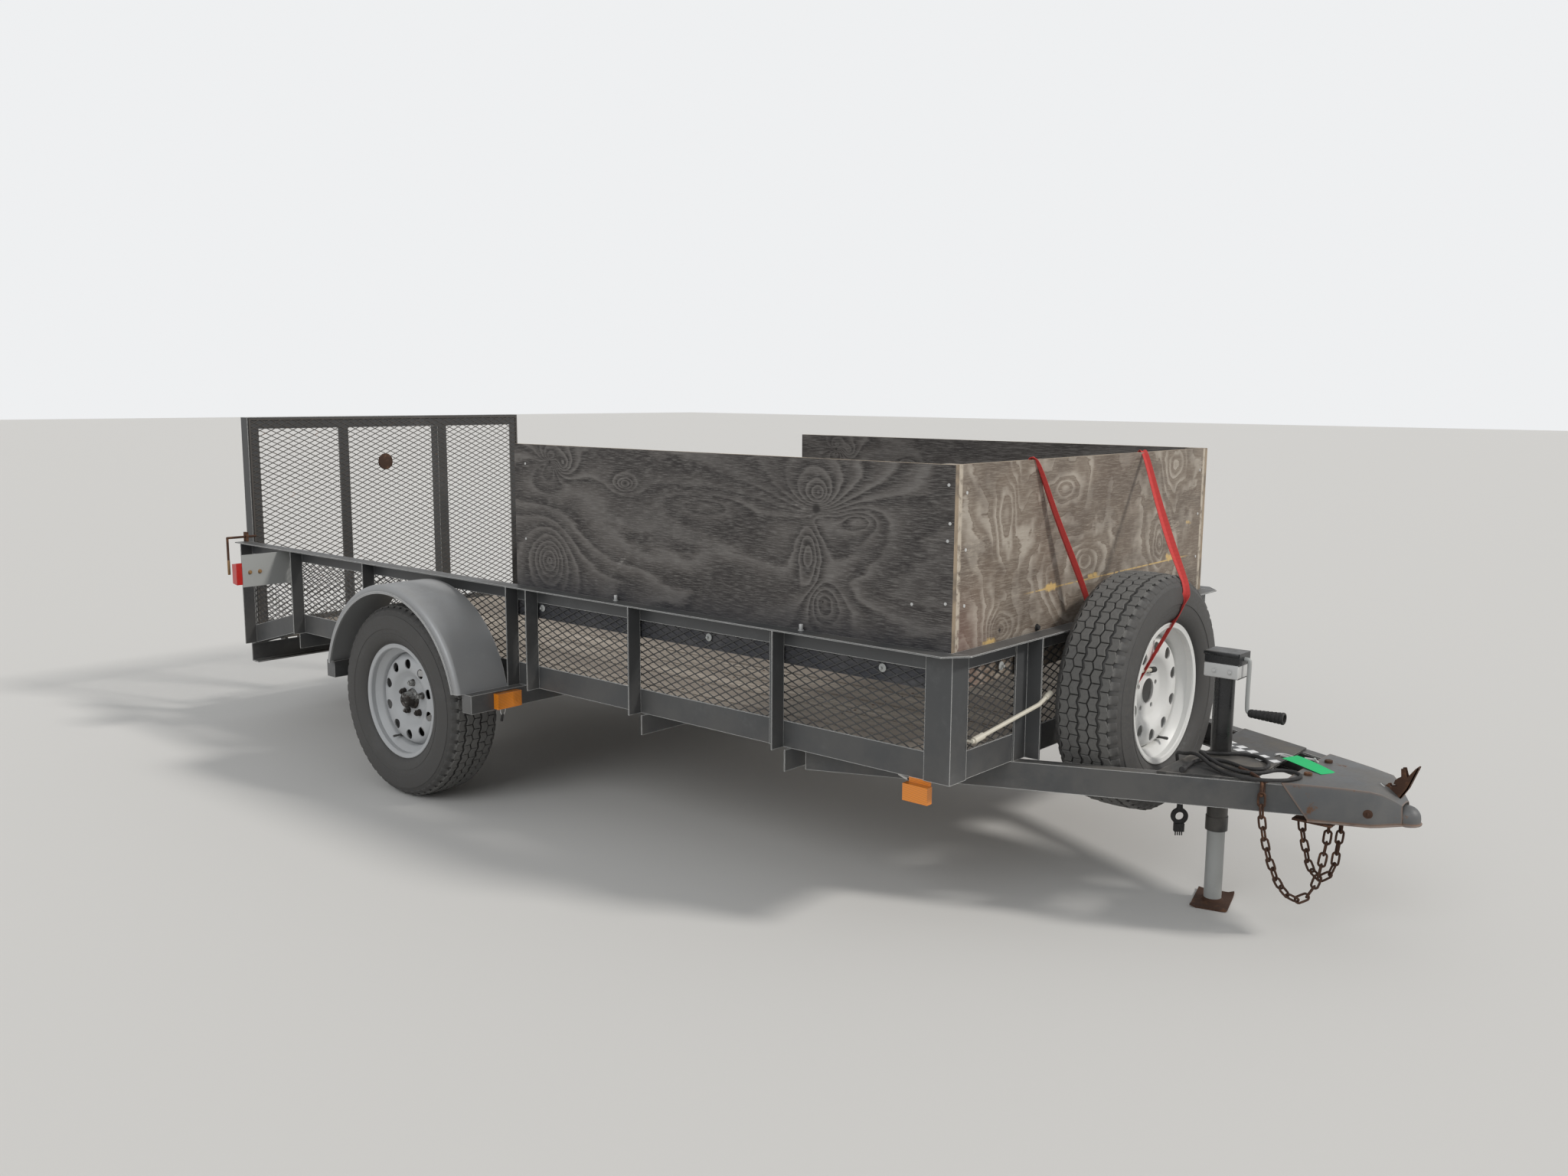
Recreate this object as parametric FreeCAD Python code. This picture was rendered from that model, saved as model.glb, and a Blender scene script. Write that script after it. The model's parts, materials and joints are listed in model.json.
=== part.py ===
import FreeCAD, Part
import math
import os

V = FreeCAD.Vector
X, Y, Z = V(1, 0, 0), V(0, 1, 0), V(0, 0, 1)

# Open utility trailer: angle-iron bed with expanded-metal sides, a sloping tail with a
# fold-down ramp gate, plywood boards on three sides, one axle, and a tongue with its jack.
# Millimetres. +X is forward, +Y is the left side, Z = 0 is the ground.
# Lengths along the bed are measured from the front of the bed, and minus is rearward.

# Bed
bed_half = 762.0           # centreline to the outer face of a side
flat_len = 3200.0          # front of the bed to the start of the sloping tail
tail_len = 410.0           # sloping tail
tail_drop = 106.0          # how far the tail falls over its length
rail_z = 430.0             # underside of the bottom rails
rail_h = 76.0              # leg of the bottom-rail angle
rail_t = 5.0
top_z = 772.0              # upper face of the top rails
leg = 50.0                 # leg of the light angle: top rails, uprights
leg_t = 4.0
mesh_t = 4.0               # expanded metal, over its strands
mesh_long = 50.8           # pitch of its openings, along and up
mesh_short = 23.4
mesh_rim = 6.0             # sheared edge that joins the strands
strand_w = 3.2
deck_t = 36.0
board_w = 143.0
board_count = 10
cross_drop = 62.0          # how far a cross-member hangs below the bottom rails
cross_first = -530.0       # cross-members, from the first back to the wheels
cross_pitch = 583.0
cross_mid_ahead = 145.0    # one ahead of the axle stops inside the springs
upright_first = -557.0
upright_pitch = 586.0
wheel_posts = (515.0, 410.0, -465.0)   # uprights about the axle
end_inset = 50.0           # the last ones, from the start and the end of the tail
post_near, post_far = 457.0, 394.0     # front posts, from the centreline
corner_cut = 12.0          # front corners of the top rails are cut off

# Plywood boards
ply_t = 16.0
ply_low = 668.0
ply_high = 1244.0
ply_len = 1748.0           # side boards
ply_gap = 0.3              # boards seat against the mesh with this gap
batten = 38.0

# Wheels and axle
axle_ahead = 1045.0        # axle, ahead of the start of the tail
tyre_r = 340.0
tyre_w = 205.0
tyre_gap = 23.0            # side of the bed to the inner sidewall
tread_half = 70.0          # flat of the tread, to each side
shoulder_in = 12.5         # sidewall's shoulder, inside the widest place
bead_r = 190.5             # 15 inch rim seat
lip_r = 203.0
rim_half = 82.0            # middle of the rim to its outer lip
well_r = 170.0             # drop in the middle of the rim
rim_wall = 4.0
bolt_circle_r = 57.15
lug_count = 5
stud_r = 6.0
vent_count = 10
vent_circle_r = 127.0
vent_r = 14.0
hub_inner, hub_cap = 62.0, 12.0        # ends of the hub's bore, inward and outward of the wheel's middle
hub_flange_r = 72.0
nut_r, nut_h, stud_out = 11.0, 17.7, 21.0
spindle_r = 19.0
beam_r = 30.0
run_gap = 0.4              # running clearance on the spindle

# Springs
spring_in = 40.0           # side of the bed to the middle of a spring
spring_w = 45.0
spring_half = 325.0        # axle to spring eye
eye_z = 402.0
eye_r = 15.0
leaf_t = 7.0
leaf_count = 3
leaf_seat_h = 4.0          # block between the axle's beam and the leaves
spring_bolt_r = 8.0
cheek_t, cheek_half, cheek_drop = 6.0, 28.0, 24.0      # hanger plates about the spring's eyes
clamp_half, clamp_t, clamp_side = 45.0, 8.0, 12.0      # plates over and under the axle
u_bolt_r, u_bolt_at, u_bolt_out = 5.0, 36.0, 8.0

# Fenders
fender_clear = 75.0        # tyre's tread to the fender
fender_t = 2.5
fender_gap = 0.3           # its inner edge lies against the uprights
fender_lip = 22.0          # how far it stands out past the tyre
fender_round = 16.0        # outer shoulder
fender_skirt = 24.0
bead_w, bead_h = 4.0, 7.0
tube_w = 50.0              # cross tube that carries the fender ends
tube_h = 62.0
tube_t = 3.0
tube_short = 27.0          # it ends this far inside the fender's edge
tube_seat = 12.0           # the fender's end stands this far in on the tube

# Ramp gate
gate_side_gap = 47.0       # side of the bed to the gate
gate_top = 1297.0
gate_back = 28.0           # end of the tail to the gate's front face
hinge_back = 45.0          # end of the tail to the hinge line
hinge_up = 21.0            # hinge line above the rails' underside there
hinge_r = 12.0
hinge_pin_r = 7.0
gate_rise = 17.0           # frame's lower edge above the hinge line
gate_post_y = 238.0
latch_r = 5.0
latch_up, latch_down = 20.0, 136.0     # latch rods, above and below the top rails
latch_out, latch_gap = 88.0, 8.0       # past the side of the bed, and off the gate
hinge_sleeve, lug_w, lug_gap = 60.0, 15.0, 1.0
hinge_at = (-560.0, 0.0, 560.0)

# Tongue
tongue_half_deg = 24.0
tongue_apex = 1035.0       # where the rails' outer faces would meet
tongue_h = 76.0
tongue_flange = 36.0
tongue_t = 5.0
tongue_end = 690.0
plate_t = 6.0
plate_rear, plate_front = 345.0, 560.0
plate_in = 8.0             # from the rails' outer faces
bite_r, bite_deep = 120.0, 17.0
ball_at = 890.0
ball_r = 25.4              # 2 inch ball
ball_gap = 0.5
ball_z = 356.0
socket_wall = 6.0
socket_depth = 16.0
nose_at = 925.0
coupler_rear = 630.0
coupler_low = 338.0
coupler_t = 4.0
# Columns: station, each side's draw inward from the rails' line, height of the top
coupler_sections = ((coupler_rear, 0.0, rail_z + 5), (700.0, 0.0, rail_z + 5), (860.0, 0.0, ball_z + 42),
                    (900.0, 3.0, ball_z + 33), (nose_at, 20.0, ball_z + 26))
coupler_slant = 62.0       # its rear edge slants forward by this from top to bottom
latch_rear, latch_front, latch_half = 822.0, 852.0, 9.0

# Jack
jack_at = 395.0
jack_outer_r = 28.5
jack_wall = 3.5
jack_gap = 0.6             # sliding clearance of the inner tube
jack_inner_wall = 3.0
jack_low = 212.0
jack_high = 652.0
jack_head_top = 724.0
jack_collar_r, jack_collar_h = 30.5, 40.0
jack_lap = 240.0           # how far the inner tube reaches up in the outer one
head_half_x, head_half_y, head_body_h, cap_lip = 46.0, 34.0, 40.0, 3.0
head_ahead = 4.0           # middle of the head, ahead of the tube
crank_reach, crank_drop = 13.0, 150.0  # stub ahead of the head, and the arm's length
crank_r, crank_stub_r = 6.0, 8.0
grip_len, grip_r, grip_end_r = 100.0, 12.0, 17.0
foot_x, foot_y, foot_t = 100.0, 150.0, 6.0
foot_turn = 14.0

# Spare wheel, leaning on the front top rail between the tongue rails
spare_y = -20.0
spare_z = 580.0
spare_gap = 0.8

# Lamps
lamp_plate_back = 50.0     # plates on the uprights, behind the start of the tail
lamp_plate_w, lamp_plate_low, lamp_plate_high, lamp_plate_t = 204.0, 630.0, 760.0, 3.0
tail_lamp_out, tail_lamp_in = 228.0, 143.0     # from the side of the bed
tail_lamp_low, tail_lamp_high, tail_lamp_deep = 640.0, 728.0, 34.0
marker_rear, marker_front = -129.0, -51.0
marker_low, marker_high, marker_deep = 371.0, 417.0, 22.0
side_lamp_in, side_lamp_out = 89.0, 185.0      # from the end of the fender's tube
side_lamp_low, side_lamp_high, side_lamp_deep = 372.0, 424.0, 24.0

# Safety chains
chain_wire = 6.0
link_len, link_w = 43.0, 24.0
link_gap = 0.3
link_bend = 1.2            # cut at the inner corners of a link
hook_at, hook_w, hook_t = 594.0, 8.0, 5.0
hook_lap, hook_tip, hook_gap = 36.0, 12.0, 1.1
chain_plate_at, chain_plate_len = 20.0, 100.0          # from the coupler's rear edge
chain_plate_y = (-146.0, -20.0)
chain_start = (hook_at, -212.0, 405.0)
# Places (x, y, z) that each chain passes
chain_paths = ((chain_start, (595, -214, 375), (599, -212, 330), (608, -198, 262), (622, -172, 190),
                (645, -139, 129), (673, -111, 109), (697, -88, 140), (710, -73, 208), (716, -63, 270),
                (718, -58, 324)),
               ((660, -98, 324), (663, -90, 280), (670, -76, 230), (683, -62, 178), (704, -51, 158),
                (725, -43, 178), (735, -39, 232), (740, -38, 280), (742, -38, 324)))

# Stay rod clipped in front of the front mesh
rod_r = 6.0
rod_inset = 74.0           # its near end, from the side of the bed
rod_path = ((18, rod_inset - bed_half, 534), (56.3, -420, 590), (56.3, -381, 604))
collar_at, collar_len, rod_cap = 8.0, 36.0, 28.0

# What follows from these
wheel_at = axle_ahead - flat_len
tail_end = -(flat_len + tail_len)
tail_slope = tail_drop / tail_len
deck_z = rail_z + rail_t
tyre_face = bed_half + tyre_gap + tyre_w       # centreline to the outer sidewall
wheel_y = tyre_face - tyre_w / 2
spring_y = bed_half - spring_in
fender_in = bed_half + leg + fender_gap
fender_out = tyre_face + fender_lip
tube_out = fender_out - tube_short
fender_r = tyre_r + fender_clear
fender_end = math.asin((rail_z - tyre_r) / fender_r)
fender_half = fender_r * math.cos(fender_end)
tube_front = wheel_at + fender_half - tube_seat
tube_rear = wheel_at - fender_half + tube_seat - tube_w
gate_half = bed_half - gate_side_gap
gate_face = tail_end - gate_back
hinge_x = tail_end - hinge_back
hinge_z = rail_z - tail_drop + hinge_up
jack_inner_r = jack_outer_r - jack_wall - jack_gap
tan_tongue = math.tan(math.radians(tongue_half_deg))

# The spare leans back on the edge of the front top rail
spare_mid = leg + tyre_w / 2 + spare_gap

# The frame's origin is at the middle of the length, on the ground
rear_reach = -(gate_face - leg_t - leg)
shift_x = (rear_reach - nose_at) / 2


def stations(first, pitch):
    """Evenly spaced stations, from the first back to the wheels."""
    last = wheel_at + wheel_posts[0] + leg
    return [first - pitch * n for n in range(int((first - last) // pitch) + 1)]


cross_at = stations(cross_first, cross_pitch) + [end_inset - flat_len]
cross_mid_at = wheel_at + cross_mid_ahead
upright_at = (stations(upright_first, upright_pitch) + [wheel_at + d for d in wheel_posts]
              + [end_inset - flat_len, tail_end + end_inset])


def box(x0, x1, y0, y1, z0, z1):
    return Part.makeBox(x1 - x0, y1 - y0, z1 - z0, V(x0, y0, z0))


def prism(points, along):
    """A polygon pushed along a vector."""
    return Part.Face(Part.makePolygon(points + points[:1])).extrude(along)


def prism_y(points, y0, y1):
    """A polygon of (x, z) pairs between two stations across the bed."""
    return prism([V(x, y0, z) for x, z in points], V(0, y1 - y0, 0))


def prism_z(points, z0, z1):
    """A polygon of (x, y) pairs between two heights."""
    return prism([V(x, y, z0) for x, y in points], V(0, 0, z1 - z0))


def rod(start, end, radius):
    return Part.makeCylinder(radius, (end - start).Length, start, end - start)


def spun(points):
    """A closed outline of (radius, y) pairs turned about the Y axis."""
    outline = Part.makePolygon([V(r, y, 0) for r, y in points + points[:1]])
    return Part.Face(outline).revolve(V(0, 0, 0), Y, 360)


def mirrored(shape):
    return shape.mirror(V(0, 0, 0), Y)


def moved(shape, x=0.0, y=0.0, z=0.0):
    copy = shape.copy()
    copy.translate(V(x, y, z))
    return copy


def fused(pieces):
    return pieces[0].multiFuse(pieces[1:]).removeSplitter() if len(pieces) > 1 else pieces[0]


def both_sides(pieces):
    """Separate solids of the right side, and the same on the left."""
    return Part.makeCompound(pieces + [mirrored(piece) for piece in pieces])


def save(name, shape):
    shape = shape.copy()
    shape.translate(V(shift_x, 0, 0))
    shape.exportStep("parts/%s.step" % name)


def rail_low(x):
    """Underside of a side rail at a station, down the sloping tail."""
    return rail_z - max(0.0, -x - flat_len) * tail_slope


# Bed frame

def sloped(low, high, x0, x1):
    """(x, z) outline that follows the side rail between two offsets from its underside."""
    stations = [x0, -flat_len, x1] if x1 < -flat_len < x0 else [x0, x1]
    return ([(x, rail_low(x) + low) for x in stations]
            + [(x, rail_low(x) + high) for x in reversed(stations)])


def side_rail():
    web = prism_y(sloped(0, rail_h, 0.0, tail_end), -bed_half, -bed_half + rail_t)
    flange = prism_y(sloped(0, rail_t, -rail_t, tail_end), -bed_half, -bed_half + rail_h)
    return fused([web, flange])


def front_rail():
    half = bed_half - rail_t
    web = box(-rail_t, 0, -half, half, rail_z, rail_z + rail_h)
    half = bed_half - rail_h
    flange = box(-rail_h, -rail_t, -half, half, rail_z, rail_z + rail_t)
    return fused([web, flange])


def cross_members():
    pieces = []
    end = bed_half + leg / 2
    inner = bed_half - rail_h
    for x, half in [(x, end) for x in cross_at] + [(cross_mid_at, inner - 2)]:
        web = box(x - leg_t, x, -half, half, rail_z - cross_drop, rail_z)
        flange = box(x - leg, x, -inner, inner, rail_z, deck_z)
        pieces.append(fused([web, flange]))
    return Part.makeCompound(pieces)


def rear_crossmember():
    high = rail_low(tail_end)
    web = box(tail_end, tail_end + rail_t, -bed_half, bed_half, high - rail_h, high)
    flange = box(tail_end, tail_end + leg, -bed_half, bed_half, high - rail_h, high - rail_h + rail_t)
    return fused([web, flange])


def top_rail_side():
    inner, outer = bed_half - rail_t, bed_half + leg
    web = box(tail_end, 0, -bed_half, -inner, top_z - leg, top_z - leg_t)
    flange = prism_z([(tail_end, -inner), (tail_end, -outer), (0, -outer), (leg, -bed_half + corner_cut),
                      (0, -inner)], top_z - leg_t, top_z)
    return fused([web, flange])


def top_rail_front():
    inner = bed_half - rail_t
    web = box(-rail_t, 0, -inner, inner, top_z - leg, top_z - leg_t)
    flange = prism_z([(0, -inner), (leg, -bed_half + corner_cut), (leg, bed_half - corner_cut), (0, inner),
                      (-rail_t, inner), (-rail_t, -inner)], top_z - leg_t, top_z)
    return fused([web, flange])


def upright(x):
    low = rail_low(x)
    face = box(x - leg, x, -bed_half - leg_t, -bed_half, low, top_z - leg_t)
    fin = box(x - leg_t, x, -bed_half - leg, -bed_half - leg_t, low, top_z - leg_t)
    return fused([face, fin])


def corner_post():
    outer = bed_half + rail_t
    side = box(-rail_h, rail_t, -outer, -bed_half, rail_z, top_z - leg_t)
    front = box(0, rail_t, -bed_half, -outer + rail_h, rail_z, top_z - leg_t)
    return fused([side, front])


def front_post():
    face = box(0, rail_t, -post_near, -post_far, rail_z, top_z - leg_t)
    fin = box(rail_t, leg, -post_far - rail_t, -post_far, rail_z, top_z - leg_t)
    return fused([face, fin])


# Expanded metal, drawn in the XZ plane: two layers of slanting strands in a sheared edge

def clipped(points, keep):
    """The part of a polygon where keep(x, z) is positive."""
    kept = []
    for (xa, za), (xb, zb) in zip(points, points[1:] + points[:1]):
        a, b = keep(xa, za), keep(xb, zb)
        if a > 0:
            kept.append((xa, za))
        if a * b < 0:
            share = a / (a - b)
            kept.append((xa + (xb - xa) * share, za + (zb - za) * share))
    return kept


def area(points):
    return abs(sum(xa * zb - xb * za for (xa, za), (xb, zb) in zip(points, points[1:] + points[:1]))) / 2


def inset(points, by):
    """A polygon given clockwise, with each side moved inward."""
    sides = []
    for (xa, za), (xb, zb) in zip(points, points[1:] + points[:1]):
        length = math.hypot(xb - xa, zb - za)
        nx, nz = (zb - za) / length, -(xb - xa) / length
        sides.append((nx, nz, nx * xa + nz * za + by))
    corners = []
    for (a, b, c), (d, e, f) in zip(sides[-1:] + sides[:-1], sides):
        spread = a * e - b * d
        corners.append(((c * e - b * f) / spread, (a * f - c * d) / spread))
    return corners


def wire_xz(points, y):
    return Part.makePolygon([V(x, y, z) for x, z in points + points[:1]])


def strand_layer(outline, lean, y):
    """One layer of strands that all lean one way, with the openings between them cut out."""
    inner = inset(outline, mesh_rim)
    slope = lean * mesh_short / mesh_long
    half = strand_w / 2 * math.hypot(1, slope)
    levels = [z - slope * x for x, z in inner]
    wires = [wire_xz(outline, y)]
    for n in range(math.floor(min(levels) / mesh_short), math.ceil(max(levels) / mesh_short)):
        low, high = n * mesh_short + half, (n + 1) * mesh_short - half
        hole = clipped(inner, lambda x, z: z - slope * x - low)
        hole = clipped(hole, lambda x, z: high - z + slope * x)
        if area(hole) > mesh_short ** 2 / 8:
            wires.append(wire_xz(hole, y))
    thick = mesh_t / 2 - 0.15
    return Part.makeFace(Part.makeCompound(wires), "Part::FaceMakerCheese").extrude(V(0, thick, 0))


def expanded(outline):
    """A sheet from y = 0 to its thickness: one solid, joined round its edge."""
    inner = inset(outline, mesh_rim)
    edge = Part.Face(wire_xz(outline, mesh_t / 2 - 0.15)).cut(Part.Face(wire_xz(inner, mesh_t / 2 - 0.15)))
    layers = [strand_layer(outline, 1, 0.0), strand_layer(outline, -1, mesh_t / 2 + 0.15)]
    return layers[0].multiFuse([edge.extrude(V(0, 0.3, 0)), layers[1]])


def mesh_side():
    low = rail_h / 2
    outline = [(-rail_t, rail_z + low), (-flat_len, rail_z + low), (tail_end, rail_low(tail_end) + low),
               (tail_end, top_z - leg_t), (-rail_t, top_z - leg_t)]
    return moved(expanded(outline), y=-bed_half + rail_t)


def crosswise(sheet, x):
    """A sheet drawn along X, turned to lie across the bed behind a station."""
    turned = sheet.copy()
    turned.rotate(V(0, 0, 0), Z, 90)
    return moved(turned, x=x)


def rectangle(half, low, high):
    return [(half, low), (-half, low), (-half, high), (half, high)]


def mesh_front():
    half = bed_half - rail_t - mesh_t
    return crosswise(expanded(rectangle(half, rail_z + rail_h / 2, top_z - leg_t)), -rail_t)


def board_edges():
    pitch = 2 * (bed_half - rail_t - mesh_t - 2) / board_count
    first = -pitch * board_count / 2 + (pitch - board_w) / 2
    return [(first + pitch * n, first + pitch * n + board_w) for n in range(board_count)]


def deck_boards():
    front = -rail_t - mesh_t - 2
    return Part.makeCompound([box(-flat_len, front, y0, y1, deck_z, deck_z + deck_t)
                              for y0, y1 in board_edges()])


def tail_boards():
    outline = [(-flat_len, deck_z), (tail_end, deck_z - tail_drop),
               (tail_end, deck_z - tail_drop + deck_t), (-flat_len, deck_z + deck_t)]
    return Part.makeCompound([prism_y(outline, y0, y1) for y0, y1 in board_edges()])


# Plywood boards

ply_face = bed_half - rail_t - mesh_t - ply_gap
ply_front_x = -rail_t - mesh_t - ply_gap


def ply_side():
    return box(ply_front_x - ply_len, ply_front_x, -ply_face, -ply_face + ply_t, ply_low, ply_high)


def ply_front():
    half = ply_face - ply_t - ply_gap
    return box(ply_front_x - ply_t, ply_front_x, -half, half, ply_low, ply_high)


def ply_batten():
    x1 = ply_front_x - ply_t - ply_gap
    y0 = -ply_face + ply_t + ply_gap
    return box(x1 - batten, x1, y0, y0 + batten, ply_low, ply_high)


# Wheels, made about the Y axis at the origin with the outer face towards -Y

def arc_wire(points):
    """A closed wire through steps: (x, y) ends a line, and (middle x, middle y, x, y) ends an arc."""
    edges = []
    here = points[0]
    for step in points[1:]:
        if len(step) == 2:
            edges.append(Part.LineSegment(V(here[0], here[1], 0), V(step[0], step[1], 0)).toShape())
            here = step
        else:
            middle, end = V(step[0], step[1], 0), V(step[2], step[3], 0)
            edges.append(Part.Arc(V(here[0], here[1], 0), middle, end).toShape())
            here = (step[2], step[3])
    return Part.Wire(edges)


def tyre():
    half, wall = tyre_w / 2, 10.0
    seat, bead, toe = bead_r + 0.3, rim_half - 6, rim_half - 20
    low, widest, high, edge = lip_r + 4, (lip_r + tyre_r - 14) / 2, tyre_r - 18, tyre_r - 3
    shoulder, inner = half - shoulder_in, half - shoulder_in - wall
    outline = [(seat, -toe), (seat, -bead), (low, -bead - 2), (widest, -half, high, -shoulder),
               (edge, -tread_half), (tyre_r, 0, edge, tread_half), (high, shoulder),
               (widest, half, low, bead + 2), (seat, bead), (seat, toe), (low, toe + 4),
               (widest - wall, half - wall, high - 8, inner), (tyre_r - wall - 1, 0, high - 8, -inner),
               (widest - wall, wall - half, low, -toe - 4), (seat, -toe)]
    return Part.Face(arc_wire(outline)).revolve(V(0, 0, 0), Y, 360)


def rim():
    wall, lip, seat = rim_wall, rim_half, rim_half - 5
    outside = [(lip_r, -lip), (lip_r - 1, -seat - 1), (bead_r, -seat), (bead_r, -60), (well_r, -42),
               (well_r, 26), (bead_r, 48), (bead_r, seat), (lip_r - 1, seat + 1), (lip_r, lip)]
    inside = [(lip_r - wall, lip), (bead_r - wall, lip - 1), (bead_r - wall, 49), (well_r - wall, 27),
              (well_r - wall, -43), (bead_r - wall, -61), (bead_r - wall, 1 - lip), (lip_r - wall, -lip)]
    barrel = spun(outside + inside)
    dish = [(42, 0), (80, 0), (98, -16), (120, -26), (140, -18), (well_r - 2, -2)]
    disc = spun(dish + [(r, y + wall) for r, y in reversed(dish)])
    cuts = []
    for n in range(vent_count):
        angle = 2 * math.pi * n / vent_count
        at = V(vent_circle_r * math.cos(angle), -60, vent_circle_r * math.sin(angle))
        cuts.append(Part.makeCylinder(vent_r, 120, at, Y))
    for cx, cz in lug_places():
        cuts.append(Part.makeCylinder(stud_r + 0.3, 120, V(cx, -60, cz), Y))
    return barrel.fuse(disc.cut(Part.makeCompound(cuts)))


def lug_places():
    angles = [2 * math.pi * (n + 0.5) / lug_count for n in range(lug_count)]
    return [(bolt_circle_r * math.cos(a), bolt_circle_r * math.sin(a)) for a in angles]


def hub():
    bore = spindle_r + run_gap
    flange, seat = hub_flange_r, rim_wall
    body = spun([(0, -56), (14, -56), (22, -48), (25, -30), (25, -4), (38, -4), (38, seat), (flange, seat),
                 (flange, 12), (38, 16), (34, hub_inner), (bore, hub_inner), (bore, -hub_cap), (0, -hub_cap)])
    pieces = [body]
    for cx, cz in lug_places():
        turns = [k * math.pi / 3 for k in range(6)]
        corners = [V(cx + nut_r * math.cos(a), -nut_h - 0.3, cz + nut_r * math.sin(a)) for a in turns]
        pieces.append(prism(corners, V(0, nut_h, 0)))
        pieces.append(Part.makeCylinder(stud_r, stud_out + rim_wall + 1, V(cx, -stud_out, cz), Y))
    return fused(pieces)


def at_wheel(shape):
    return moved(shape, wheel_at, -wheel_y, tyre_r)


def axle():
    end = wheel_y - hub_inner - 4
    tip = wheel_y + hub_cap - 4
    beam = Part.makeCylinder(beam_r, 2 * end, V(wheel_at, -end, tyre_r), Y)
    spindle = Part.makeCylinder(spindle_r, 2 * tip, V(wheel_at, -tip, tyre_r), Y)
    return fused([beam, spindle])


# Springs: a three-leaf pack on the axle, its eyes hung from the side rail

def leaf(half, low, thick, rise):
    """One leaf: low at the axle, its ends higher by rise."""
    lower = Part.Arc(V(-half, 0, low + rise), V(0, 0, low), V(half, 0, low + rise)).toShape()
    upper = Part.Arc(V(half, 0, low + rise + thick), V(0, 0, low + thick),
                     V(-half, 0, low + rise + thick)).toShape()
    right = Part.LineSegment(V(half, 0, low + rise), V(half, 0, low + rise + thick)).toShape()
    left = Part.LineSegment(V(-half, 0, low + rise + thick), V(-half, 0, low + rise)).toShape()
    return Part.Face(Part.Wire([lower, right, upper, left])).extrude(V(0, spring_w, 0))


def spring():
    seat = tyre_r + beam_r + leaf_seat_h
    top_low = seat + leaf_t * (leaf_count - 1)
    rise = eye_z - eye_r - top_low + leaf_t
    pieces = []
    for n in range(leaf_count):
        half = spring_half * (n + 1.6) / (leaf_count + 0.6)
        pieces.append(leaf(half, seat + leaf_t * n, leaf_t, rise * (half / spring_half) ** 2))
    for side in (-1, 1):
        eye = Part.makeCylinder(eye_r, spring_w, V(side * spring_half, 0, eye_z), Y)
        pieces.append(eye)
    pack = fused(pieces)
    for side in (-1, 1):
        hole = Part.makeCylinder(spring_bolt_r + 0.2, spring_w, V(side * spring_half, 0, eye_z), Y)
        pack = pack.cut(hole)
    return moved(pack, wheel_at, -spring_y - spring_w / 2)


def spring_mounts():
    """Hangers at the spring's eyes, and plates with U-bolts that clamp it to the axle."""
    inner, outer = -spring_y + spring_w / 2, -spring_y - spring_w / 2
    pieces = []
    for side in (-1, 1):
        x = wheel_at + side * spring_half
        cheeks = [box(x - cheek_half, x + cheek_half, y, y + cheek_t, eye_z - cheek_drop, rail_z)
                  for y in (outer - cheek_t - 1, inner + 1)]
        start = outer - cheek_t - 7
        bolt = Part.makeCylinder(spring_bolt_r, inner + cheek_t + 7 - start, V(x, start, eye_z), Y)
        pieces.append(fused(cheeks + [bolt]))
    half = spring_w / 2 + clamp_side
    low = tyre_r - beam_r
    high = tyre_r + beam_r + leaf_seat_h + leaf_t * leaf_count + 0.6
    x0, x1 = wheel_at - clamp_half, wheel_at + clamp_half
    clamp = [box(x0, x1, -spring_y - half, -spring_y + half, z, z + clamp_t) for z in (high, low - clamp_t)]
    for x in (wheel_at - u_bolt_at, wheel_at + u_bolt_at):
        for y in (-spring_y - half + 4, -spring_y + half - 4):
            clamp.append(rod(V(x, y, low - clamp_t - 10), V(x, y, high + clamp_t + u_bolt_out), u_bolt_r))
    pieces.append(fused(clamp))
    seat = box(wheel_at - 25, wheel_at + 25, outer, inner, tyre_r + beam_r, tyre_r + beam_r + leaf_seat_h)
    return pieces + [seat]


# Fenders

def fender():
    """Rolled sheet over the wheel, its outer shoulder rounded into a narrow skirt with a bead."""
    r, t, k, edge = fender_r, fender_t, fender_round, fender_out
    bow = math.sqrt(0.5)
    low = r - fender_skirt
    outer, inner = k * (1 - bow), k - (k - t) * bow
    outline = [(r, -fender_in), (r, k - edge), (r - outer, outer - edge, r - k, -edge), (low, -edge),
               (low, -edge - bead_w), (low - bead_h, -edge - bead_w), (low - bead_h, t - edge),
               (r - k, t - edge), (r - inner, inner - edge, r - t, k - edge), (r - t, -fender_in),
               (r, -fender_in)]
    past_end = 0.03            # turned a little past its end, then cut level with the tubes
    low_deg = math.degrees(fender_end - past_end)
    face = Part.Face(arc_wire(outline))
    face.rotate(V(0, 0, 0), Y, -low_deg)
    sheet = moved(face.revolve(V(0, 0, 0), -Y, 180 - 2 * low_deg), x=wheel_at, z=tyre_r)
    return sheet.cut(box(wheel_at - 2 * r, wheel_at + 2 * r, -edge - 2 * bead_w, 0, 0, rail_z))


def fender_tubes():
    pieces = []
    for x in (tube_front, tube_rear):
        outer = box(x, x + tube_w, -tube_out, tube_out, rail_z - tube_h, rail_z)
        hole = box(x + tube_t, x + tube_w - tube_t, -tube_out, tube_out, rail_z - tube_h + tube_t,
                   rail_z - tube_t)
        pieces.append(outer.cut(hole))
    return Part.makeCompound(pieces)


# Ramp gate, upright behind the tail

def gate_low():
    return hinge_z + gate_rise


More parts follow.
